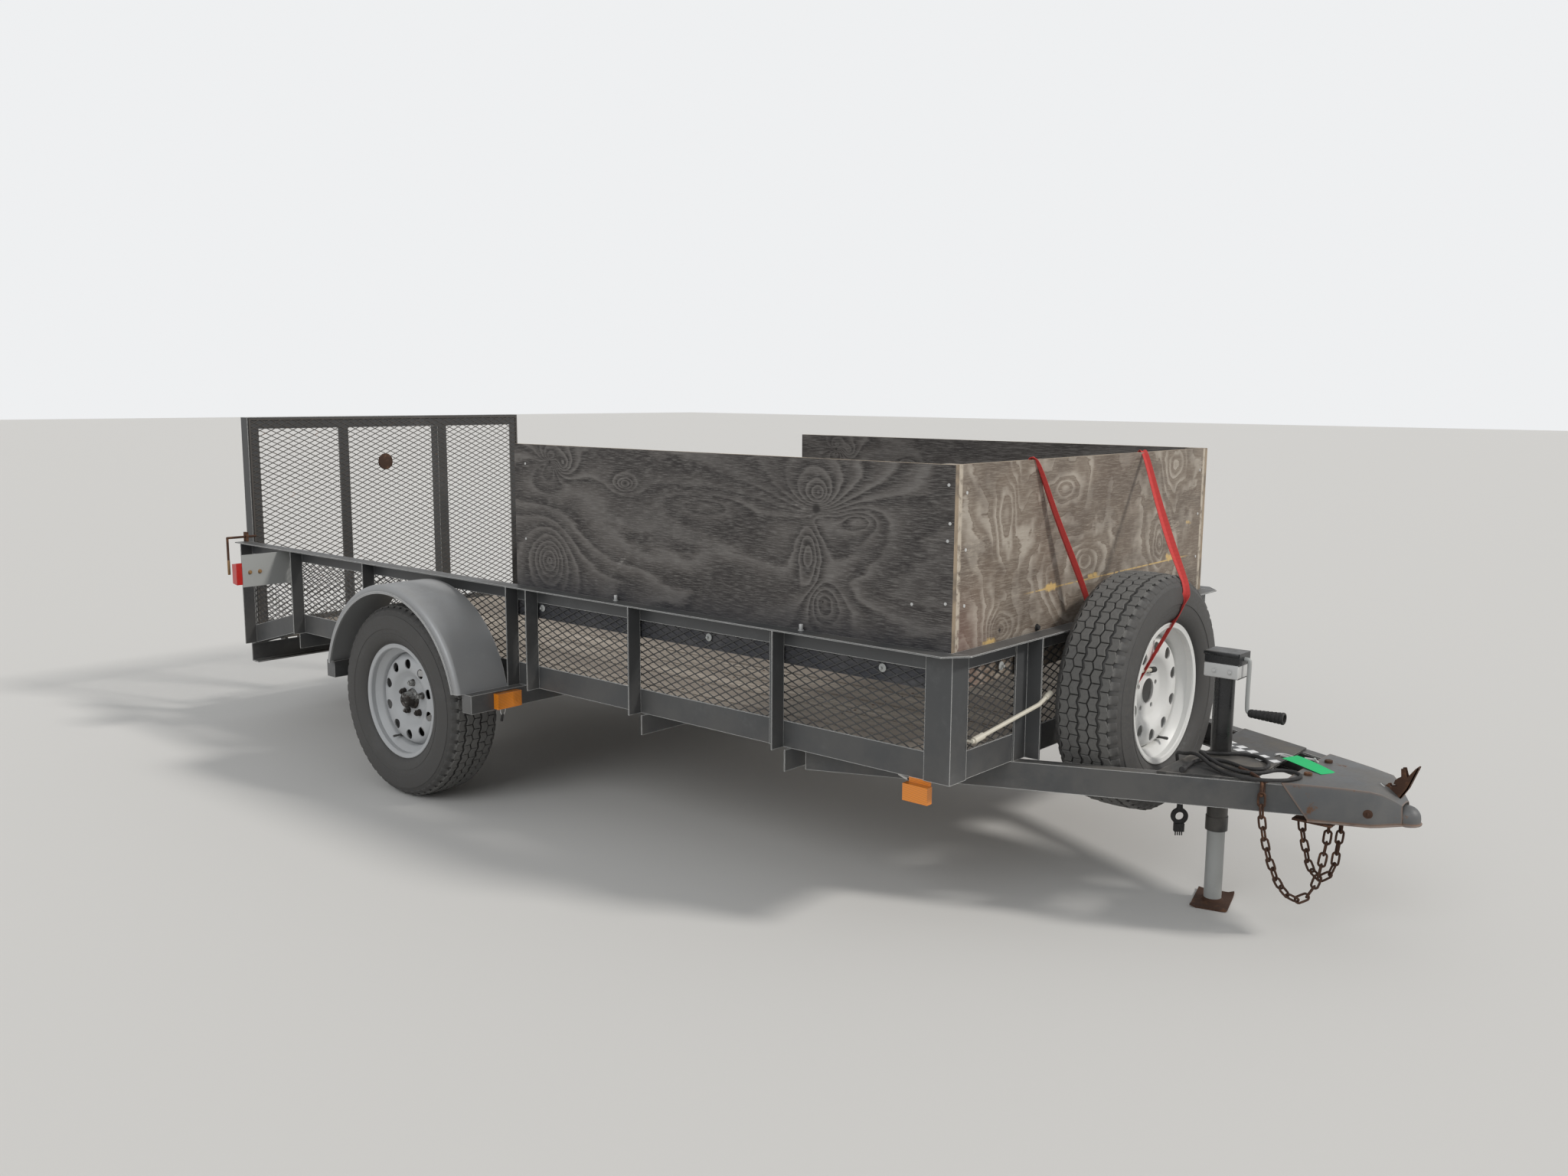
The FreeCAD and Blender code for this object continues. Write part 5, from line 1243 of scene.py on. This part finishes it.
def make_foot(finishes):
    """Jack foot: a plate with its corners bent up, and the weld collar on it."""
    low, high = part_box("jack_foot")
    middle = (low + high) / 2
    plate = panel("bent_foot", FOOT_X, FOOT_Y, (6, 8))
    for sx in (-1, 1):
        for sy in (-1, 1):
            shift(plate,
                  lambda co: co.x * sx > CORNER_FROM * FOOT_X / 2 and co.y * sy > CORNER_FROM * FOOT_Y / 2,
                  (0, 0, CORNER_HIGH if sx * sy > 0 else CORNER_LOW))
    modified(plate, "SOLIDIFY", thickness=high.z - low.z - 0.0002, offset=1)
    placed(plate, Matrix.Translation((middle.x, middle.y, low.z + 0.0001))
           @ Matrix.Rotation(math.radians(FOOT_TURN_DEG), 4, "Z"))
    lowest = min(v.co.z for v in plate.data.vertices)
    if lowest < low.z:
        placed(plate, Matrix.Translation((0, 0, low.z - lowest)))
    settle(plate, "jack_leg", "rusty_steel", finishes["rusty_steel"], "jack_foot", smooth_deg=25)
    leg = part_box("jack_leg")
    r = (leg[1].x - leg[0].x) / 2
    collar = turned("foot_weld", [(0, r - 0.001), (0, r + 0.006), (0.004, r + 0.0035), (0.008, r - 0.0005),
                                  (0, r - 0.001)], 32, axis="Z")
    placed(collar, Matrix.Translation(((leg[0].x + leg[1].x) / 2, 0, high.z)))
    settle(collar, "jack_leg", "rusty_steel", finishes["rusty_steel"])


# Fasteners, each kind modelled once and copied

WASHER_THICK, WASHER_WIDER = 0.0015, 1.35
# Their bed places: stations, places across and heights in millimetres
RAIL_BOLTS_S, RAIL_BOLTS_OUT = (-492, -1248), 14
MESH_WASHERS_S, MESH_WASHERS_Z = (-219, -853, -1619), 705
# Columns: station, height
SIDE_SCREWS = ((-28, 1194), (-28, 1054), (-30, 895), (-133, 883), (-22, 1098), (-1700, 1180), (-1705, 930))
FRONT_SCREWS_Y, FRONT_SCREWS_Z = 700, (1173, 1029, 886)
FRONT_BOLTS_Y, FRONT_BOLTS_Z = 331, 782
FRONT_WASHERS_Y, FRONT_WASHERS_Z = 528, 706
# In metres: each board's screws from its middle, and their rows behind the members and the bed's front
DECK_SCREWS_OFF, SCREWS_BEHIND, FRONT_ROW_BEHIND = 0.045, 0.012, 0.04


def hex_bolt(radius, height):
    """Bolt head on its washer, standing along Z."""
    clear_selection()
    bpy.ops.mesh.primitive_cylinder_add(vertices=6, radius=radius, depth=height,
                                        location=(0, 0, height / 2 + WASHER_THICK))
    head = named("head")
    rounded(head, 0.0008, 1, 40)
    washer = drum("washer", (0, 0, 0), (0, 0, WASHER_THICK), radius * WASHER_WIDER, 16)
    return joined("bolt", [head, washer])


def screw_head(radius):
    return drum("screw", (0, 0, 0), (0, 0, 0.0012), radius, 10)


def eye_washer(radius):
    """Dished washer with its bolt's end."""
    return turned("dish", [(0, 0.0001), (0, radius), (0.0018, radius), (0.004, radius * 0.5), (0.004, 0.0038),
                           (0.011, 0.0036), (0.0115, 0.0001)], 20, axis="Z")


def laid(name, model, places, facing):
    """Copies of a model standing on places, its Z turned to face a direction."""
    turn = Vector(facing).to_track_quat("Z", "Y").to_matrix().to_4x4()
    copies = [placed(twin(model, "copy"), Matrix.Translation(at) @ turn) for at in places]
    bpy.data.objects.remove(model)
    return joined(name, copies)


def middles(node_name, axis):
    """Middles of a node's separate solids along an axis, in order."""
    parts = loose_parts(node_name)
    spans = [[vertex.co["XYZ".index(axis)] for vertex in part.data.vertices] for part in parts]
    for part in parts:
        bpy.data.objects.remove(part)
    return sorted((min(span) + max(span)) / 2 for span in spans)


def fasten(finishes, name, model, places, facing, finish="bright steel"):
    """Copies of a fastener, as one piece on the bed."""
    settle(laid(name, model, places, facing), "root", "zinc", finishes[finish])


def make_fasteners(finishes):
    rails = [bed(s, side * (PLY_FACE + RAIL_BOLTS_OUT), TOP_Z) for s in RAIL_BOLTS_S for side in (-1, 1)]
    fasten(finishes, "rail_bolts", hex_bolt(0.006, 0.016), rails, (0, 0, 1))
    mesh_face = -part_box("mesh_right")[0].y * 1000
    for side, name in SIDES:
        washers = [bed(s, side * mesh_face, MESH_WASHERS_Z) for s in MESH_WASHERS_S]
        fasten(finishes, "mesh_washers_" + name, eye_washer(0.0115), washers, (0, side, 0), "zinc")
        screws = [bed(s, side * PLY_FACE, z) for s, z in SIDE_SCREWS]
        fasten(finishes, "side_screws_" + name, screw_head(0.0042), screws, (0, side, 0))
    screws = [bed(PLY_FRONT, side * FRONT_SCREWS_Y, z) for side in (-1, 1) for z in FRONT_SCREWS_Z]
    fasten(finishes, "front_screws", screw_head(0.0045), screws, (1, 0, 0))
    bolts = [bed(PLY_FRONT, side * FRONT_BOLTS_Y, FRONT_BOLTS_Z) for side in (-1, 1)]
    fasten(finishes, "front_bolts", hex_bolt(0.0075, 0.007), bolts, (1, 0, 0), "lead_rubber")
    washers = [bed(0, side * FRONT_WASHERS_Y, FRONT_WASHERS_Z) for side in (-1, 1)]
    fasten(finishes, "front_washers", eye_washer(0.012), washers, (1, 0, 0), "zinc")
    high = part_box("deck_boards")[1].z
    boards = middles("deck_boards", "Y")
    rows = [x - SCREWS_BEHIND for x in middles("cross_members", "X")] + [BED_FRONT / 1000 - FRONT_ROW_BEHIND]
    deck = [Vector((x, y + off, high)) for x in rows for y in boards
            for off in (-DECK_SCREWS_OFF, DECK_SCREWS_OFF)]
    fasten(finishes, "deck_screws", drum("screw", (0, 0, 0), (0, 0, 0.001), 0.0045, 8), deck, (0, 0, 1),
           "rusty_steel")


# Things lying on the tongue

TAG_LONG, TAG_WIDE, TAG_LIFT = 0.14, 0.052, 2
TAG_AT, TAG_TURN_DEG, TAG_TILT_DEG = (636, 2), -27, 2
COUPLER_BOLTS_S, COUPLER_BOLTS_Y = 662, 78


def make_tag(finishes):
    """Green tag: a card lying across the plate's front edge, a little curled."""
    tag = panel("tag", TAG_LONG, TAG_WIDE, (10, 4))
    for vertex in tag.data.vertices:
        x, y = vertex.co.x, vertex.co.y
        vertex.co.z = 0.0025 + 0.006 * math.cos(x * 19 + 0.8) * (0.4 + y * 9) + 0.003
    modified(tag, "SOLIDIFY", thickness=0.0006, offset=0)
    at = bed(*TAG_AT, PLATE_TOP + TAG_LIFT)
    placed(tag, Matrix.Translation(at) @ Matrix.Rotation(math.radians(TAG_TURN_DEG), 4, "Z")
           @ Matrix.Rotation(math.radians(TAG_TILT_DEG), 4, "Y"))
    settle(tag, "root", "cream_plastic", finishes["green card"], smooth_deg=60)


def make_pins(finishes):
    """Two bent wire pins beside the tag, and the two rusty bolts on the coupler."""
    high = PLATE_TOP + 3.2
    loop = [(525, 60, high), (532, 78, high), (552, 80, high), (590, 55, high + 1), (612, 40, high),
            (620, 28, high), (612, 20, high), (590, 34, high), (556, 58, high + 1), (540, 62, high)]
    hook = [(598, 78, high), (614, 84, high), (632, 74, high), (640, 62, high), (640, 52, high + 2),
            (636, 44, high + 14)]
    for name, route in (("pin_loop", loop), ("pin_hook", hook)):
        piece = wire(name, [bed(*p) for p in route], 0.003, sides=3)
        settle(piece, "root", "zinc", finishes["bright steel"], smooth_deg=50)
    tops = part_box("coupler")[1].z * 1000
    bolts = [bed(COUPLER_BOLTS_S, side * COUPLER_BOLTS_Y, tops) for side in (-1, 1)]
    settle(laid("coupler_bolts", hex_bolt(0.011, 0.01), bolts, (0, 0, 1)), "root", "rusty_steel",
           finishes["rusty_steel"])


def make_tape(finishes):
    """Checkered tape on the tongue plate."""
    tape = panel("check_tape", (TAPE_TO - TAPE_FROM).length / 1000, 2 * CHECK_SIZE, (12, 2))
    modified(tape, "SOLIDIFY", thickness=0.0005, offset=1)
    middle = (TAPE_FROM + TAPE_TO) / 2
    placed(tape, Matrix.Translation(bed(middle.x, middle.y, PLATE_TOP)) @ Matrix.Rotation(TAPE_TURN, 4, "Z"))
    settle(tape, "root", "frame_paint", finishes["check tape"])


# Small parts at the lamps, the fender tubes and the gate

# Bed places on the left side
MARKER_WIRE = ((-92, 752, 395), (-100, 744, 402), (-140, 735, 412), (-190, 730, 424), (-240, 728, 427))
MARKER_SLEEVE = ((-146, 734.5, 413.5), (-178, 731, 421))
# The lamp plates' bolts: shares of the plate's reach past the rail, from its outer edge, and of its height
PLATE_BOLTS_IN, PLATE_BOLTS_UP = (0.2, 0.47), 0.45
TUBE_WIDE, END_HALF = 0.050, 0.0012
# The fender lamp's wire: how far behind the front tube's face it hangs, and in from the tube's end
LAMP_WIRE_BEHIND, LAMP_WIRE_IN = 0.008, 0.12
LATCH_R, LATCH_IN, SLEEVE_HIGH, SLEEVE_WALL = 0.005, 0.012, 0.062, 0.0007
# The gate's disc: its place across the gate and its height
DISC_Y, DISC_Z = -0.057, 1.087


def make_lamp_parts(finishes):
    """Wires and sleeve at the front marker lamp, on both sides."""
    for side, name in SIDES:
        route = [bed(s, side * y, z) for s, y, z in MARKER_WIRE]
        settle(wire("marker_wire_" + name, route, 0.0025), "root", "lead_rubber", finishes["lead_rubber"],
               smooth_deg=50)
        ends = [bed(s, side * y, z) for s, y, z in MARKER_SLEEVE]
        sleeve = rounded(drum("marker_sleeve_" + name, *ends, 0.0048, 14), 0.001, 2)
        settle(sleeve, "root", "cream_plastic", finishes["white plastic"])


def make_plate_bolts(finishes):
    """Two bolts through the front of each tail lamp plate."""
    low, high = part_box("lamp_plates")
    reach = high.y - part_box("top_rail_left")[1].y
    up = low.z + PLATE_BOLTS_UP * (high.z - low.z)
    for side, name in SIDES:
        bolts = [Vector((high.x, side * (high.y - share * reach), up)) for share in PLATE_BOLTS_IN]
        fasten(finishes, "plate_bolts_" + name, hex_bolt(0.0062, 0.005), bolts, (1, 0, 0), "brass")


def make_tube_ends(finishes):
    """Plates that close the fender tubes, and the loose wire and plug under each front tube."""
    low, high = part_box("fender_tubes")
    for side, name in SIDES:
        ends = []
        for x in (low.x, high.x - TUBE_WIDE):
            end = block("end", (x, -END_HALF, low.z), (x + TUBE_WIDE, END_HALF, high.z))
            ends.append(placed(end, Matrix.Translation((0, side * high.y, 0))))
        settle(rounded(joined("tube_ends_" + name, ends), 0.0008, 2), "root", "frame_paint",
               finishes["end plate paint"])
        x, y, z = high.x - LAMP_WIRE_BEHIND, side * (high.y - LAMP_WIRE_IN), low.z
        loop = wire("lamp_wire_" + name, [(x, y, z + 0.002), (x, y, z - 0.018), (x, y + 0.01, z - 0.026),
                                          (x, y + 0.02, z - 0.018), (x, y + 0.022, z + 0.002)], 0.0018)
        settle(loop, "root", "cream_plastic", finishes["white plastic"], smooth_deg=50)
        plug = drum("lamp_plug_" + name, (x, y + 0.009, z - 0.022), (x, y + 0.004, z - 0.046), 0.0045, 12)
        settle(rounded(plug, 0.001, 2), "root", "lead_rubber", finishes["lead_rubber"])


def make_latch_sleeves(finishes):
    """Brass-coloured lower end of each latch rod."""
    low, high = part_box("gate_latches")
    for side, name in SIDES:
        x, y = low.x + LATCH_IN, side * (high.y - LATCH_R)
        sleeve = drum("latch_sleeve_" + name, (x, y, low.z - 0.0005), (x, y, low.z + SLEEVE_HIGH),
                      LATCH_R + SLEEVE_WALL, 16)
        settle(rounded(sleeve, 0.001, 2), "root", "zinc", finishes["brass"])


def make_chain_bar(finishes):
    """Bent bar that lies on the tongue plate and hooks the near chain over the rail."""
    route = [(504, -136, 441), (511, -146, 442), (534, -158, 442), (569, -186, 441), (586, -204, 439),
             (594, -215, 434), (595, -220, 424), (595, -219, 410)]
    bar = wire("chain_bar", [bed(*p) for p in route], 0.0045, sides=3)
    settle(bar, "root", "rusty_steel", finishes["rusty_steel"], smooth_deg=50)


def make_gate_disc(finishes):
    """Brown disc tied to the gate's mesh."""
    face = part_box("gate_mesh")[1].x
    disc = turned("gate_disc", [(0, 0.0001), (0, 0.036), (0.004, 0.038), (0.008, 0.035), (0.010, 0.012),
                                (0.010, 0.0001)], 28, axis="X")
    placed(disc, Matrix.Translation((face + 0.0003, DISC_Y, DISC_Z)))
    settle(disc, "gate", "rusty_steel", finishes["brown disc"])


# Coupler: a pressed shell that narrows to the ball's dome, with a lip along its lower edge

HALF_ANGLE_DEG, RAILS_MEET = 24, 1035
BALL_AT, BALL_Z, DOME_R, SOCKET_R = 890, 356, 32, 26
SHELL_FOOT, SHELL_WALL, LIP_OUT = 345, 3, 8
# Columns: station of the top's edge, station of the foot below it, height of the top
STRAIGHT_SECTIONS = ((630, 692, 434), (690, 722, 434), (760, 774, 433), (822, 828, 430))
# Columns: station, half width at the top's edge, half width at the foot, height of the top
NECK_SECTIONS = ((842, 74, 79, 422), (857, 54, 60, 410), (870, 38, 44, 399), (882, 26, 34, 388))
PIN_S, PIN_Z = 822, 374


def rail_out(s):
    """Half width over the shell where it lies on the rails."""
    return (RAILS_MEET - s) * math.tan(math.radians(HALF_ANGLE_DEG)) + 4


def shell_sections():
    """Top's edge, foot, half widths at both and height of the top, section by section."""
    for edge, foot, high in STRAIGHT_SECTIONS:
        yield edge, foot, rail_out(edge) - 2, rail_out(foot) + 1, high
    for s, at_edge, at_foot, high in NECK_SECTIONS:
        yield s, s + 4, at_edge, at_foot, high


def make_coupler(finishes):
    """Shell, lip and dome as one piece, and a dished washer on each side."""
    rows = []
    for edge, foot, at_edge, at_foot, high in shell_sections():
        top = [bed(edge, part * at_edge, high + 3 * (1 - part * part)) for part in (-1, -0.5, 0, 0.5, 1)]
        rows.append([bed(foot, -at_foot, SHELL_FOOT), *top, bed(foot, at_foot, SHELL_FOOT)])
    shell = skin("shell", rows)
    modified(shell, "SOLIDIFY", thickness=SHELL_WALL / 1000, offset=-1)
    rounded(shell, 0.007, 4, 35)
    feet = [(foot, -at_foot) for _, foot, _, at_foot, _ in shell_sections()][:-1]
    turns = [math.radians(turn) for turn in range(-100, 101, 20)]
    nose = [(BALL_AT + (DOME_R - 5) * math.cos(turn), (DOME_R - 1) * math.sin(turn)) for turn in turns]
    path = [*feet, *nose, *[(s, -y) for s, y in reversed(feet)]]
    edges = []
    for n, (s, y) in enumerate(path):
        before, after = path[max(n - 1, 0)], path[min(n + 1, len(path) - 1)]
        out = Vector((after[1] - before[1], before[0] - after[0])).normalized() * LIP_OUT
        edges.append([bed(s, y, SHELL_FOOT - 1), bed(s + out.x, y + out.y, SHELL_FOOT - 3)])
    lip = modified(skin("lip", edges), "SOLIDIFY", thickness=0.004, offset=0)
    rounded(lip, 0.0015, 2, 40)
    bend = [math.radians(turn) for turn in range(0, 91, 15)]
    outer = [(BALL_Z + DOME_R * math.cos(turn), max(DOME_R * math.sin(turn), 0.1)) for turn in bend]
    inner = [(BALL_Z + SOCKET_R * math.cos(turn), max(SOCKET_R * math.sin(turn), 0.1))
             for turn in reversed(bend)]
    profile = [*outer, (SHELL_FOOT - 4, DOME_R), (SHELL_FOOT - 4, SOCKET_R), *inner]
    dome = turned("dome", [(z / 1000, r / 1000) for z, r in profile], 36, axis="Z")
    placed(dome, Matrix.Translation(bed(BALL_AT, 0, 0)))
    made = joined("pressed_coupler", [shell, lip, dome])
    settle(made, "root", "coupler_paint", finishes["coupler_paint"], "coupler", smooth_deg=45)
    for side, name in SIDES:
        at = bed(PIN_S, side * (rail_out(PIN_S) + 1), PIN_Z)
        facing = (math.sin(math.radians(HALF_ANGLE_DEG)), side * math.cos(math.radians(HALF_ANGLE_DEG)), 0)
        settle(laid("coupler_pin_" + name, eye_washer(0.012), [at], facing), "root", "rusty_steel",
               finishes["rusty_steel"])


def make_latch(finishes):
    """Lever of folded sheet with a toothed rear edge, standing open on the neck."""
    side_view = [(828, 426), (867, 394), (889, 432), (911, 492), (903, 489), (884, 462), (877, 484),
                 (868, 482),
                 (870, 460), (856, 450), (853, 440), (863, 436), (846, 430), (843, 436), (836, 434)]
    back_view = [(867, 394), (889, 432), (911, 492), (907, 493), (885, 434), (863, 397)]
    thick, half = 2.6, 10
    cheeks = [cut_plate("cheek", [bed(s, y, z) for s, z in side_view], (0, thick / 1000, 0))
              for y in (-half, half - thick)]
    back = cut_plate("back", [bed(s, -half, z) for s, z in back_view], (0, 2 * half / 1000, 0))
    lever = rounded(joined("toothed_lever", [*cheeks, back]), 0.0007, 1, 40)
    settle(lever, "root", "rusty_steel", finishes["rusty_steel"], "coupler_latch", smooth_deg=30)
    clip = wire("latch_clip", [bed(s, y, z) for s, y, z in ((824, -16, 436), (834, -20, 430), (848, -19, 420),
                                                          (862, -16, 407), (872, -10, 397))], 0.0016)
    settle(clip, "root", "zinc", finishes["bright steel"], smooth_deg=50)


# Floor, world and lamps

SKY_LIGHT = 0.5


def set_stage():
    """A pale floor, and a sky that is white to the camera and softer on the object."""
    bpy.ops.mesh.primitive_grid_add(x_subdivisions=4, y_subdivisions=4, size=120, location=(0, 0, 0))
    floor = bpy.context.object
    floor.name = "floor"
    made, tree, shader = new_material("pale floor", 0.9)
    shader["Base Color"].default_value = (0.66, 0.65, 0.63, 1.0)
    floor.data.materials.append(made)

    world = bpy.data.worlds.new("studio")
    world.use_nodes = True
    bpy.context.scene.world = world
    tree = world.node_tree
    rays = tree.nodes.new("ShaderNodeLightPath").outputs
    shiny = calc(tree, "MAXIMUM", rays["Is Glossy Ray"], rays["Is Transmission Ray"])
    seen = calc(tree, "MAXIMUM", rays["Is Camera Ray"], calc(tree, "MULTIPLY", shiny, 0.7))
    sky = tree.nodes["Background"].inputs
    sky["Color"].default_value = (0.86, 0.87, 0.88, 1.0)
    tree.links.new(fade(tree, seen, 0.0, 1.0, SKY_LIGHT, 1.0), sky["Strength"])


def sun_lamp(name, towards, energy, angle_deg, colour):
    """A wide, even lamp that shines along a direction."""
    lamp = bpy.data.lights.new(name, "SUN")
    lamp.energy = energy
    lamp.angle = math.radians(angle_deg)
    lamp.color = colour
    holder = bpy.data.objects.new(name, lamp)
    holder.rotation_euler = Vector(towards).to_track_quat("-Z", "Y").to_euler()
    bpy.context.scene.collection.objects.link(holder)


def light_studio():
    sun_lamp("key", (-0.72, -0.30, -0.66), 1.7, 9.0, (1.0, 0.97, 0.93))
    sun_lamp("fill", (-0.15, 0.80, -0.55), 0.85, 40.0, (0.95, 0.98, 1.0))
    bpy.context.scene.view_settings.view_transform = "Standard"


def main():
    place_camera()
    set_stage()
    light_studio()
    clear_selection()
    finishes = make_finishes()
    finish_nodes(finishes)
    lay_lead(finishes)
    make_tyres(finishes)
    make_rims(finishes)
    make_valves(finishes)
    make_chains(finishes)
    make_strap(finishes)
    make_crank(finishes)
    make_foot(finishes)
    make_fasteners(finishes)
    make_tag(finishes)
    make_pins(finishes)
    make_tape(finishes)
    make_lamp_parts(finishes)
    make_plate_bolts(finishes)
    make_tube_ends(finishes)
    make_latch_sleeves(finishes)
    make_chain_bar(finishes)
    make_gate_disc(finishes)
    make_coupler(finishes)
    make_latch(finishes)
    make_head_bracket(finishes)


main()
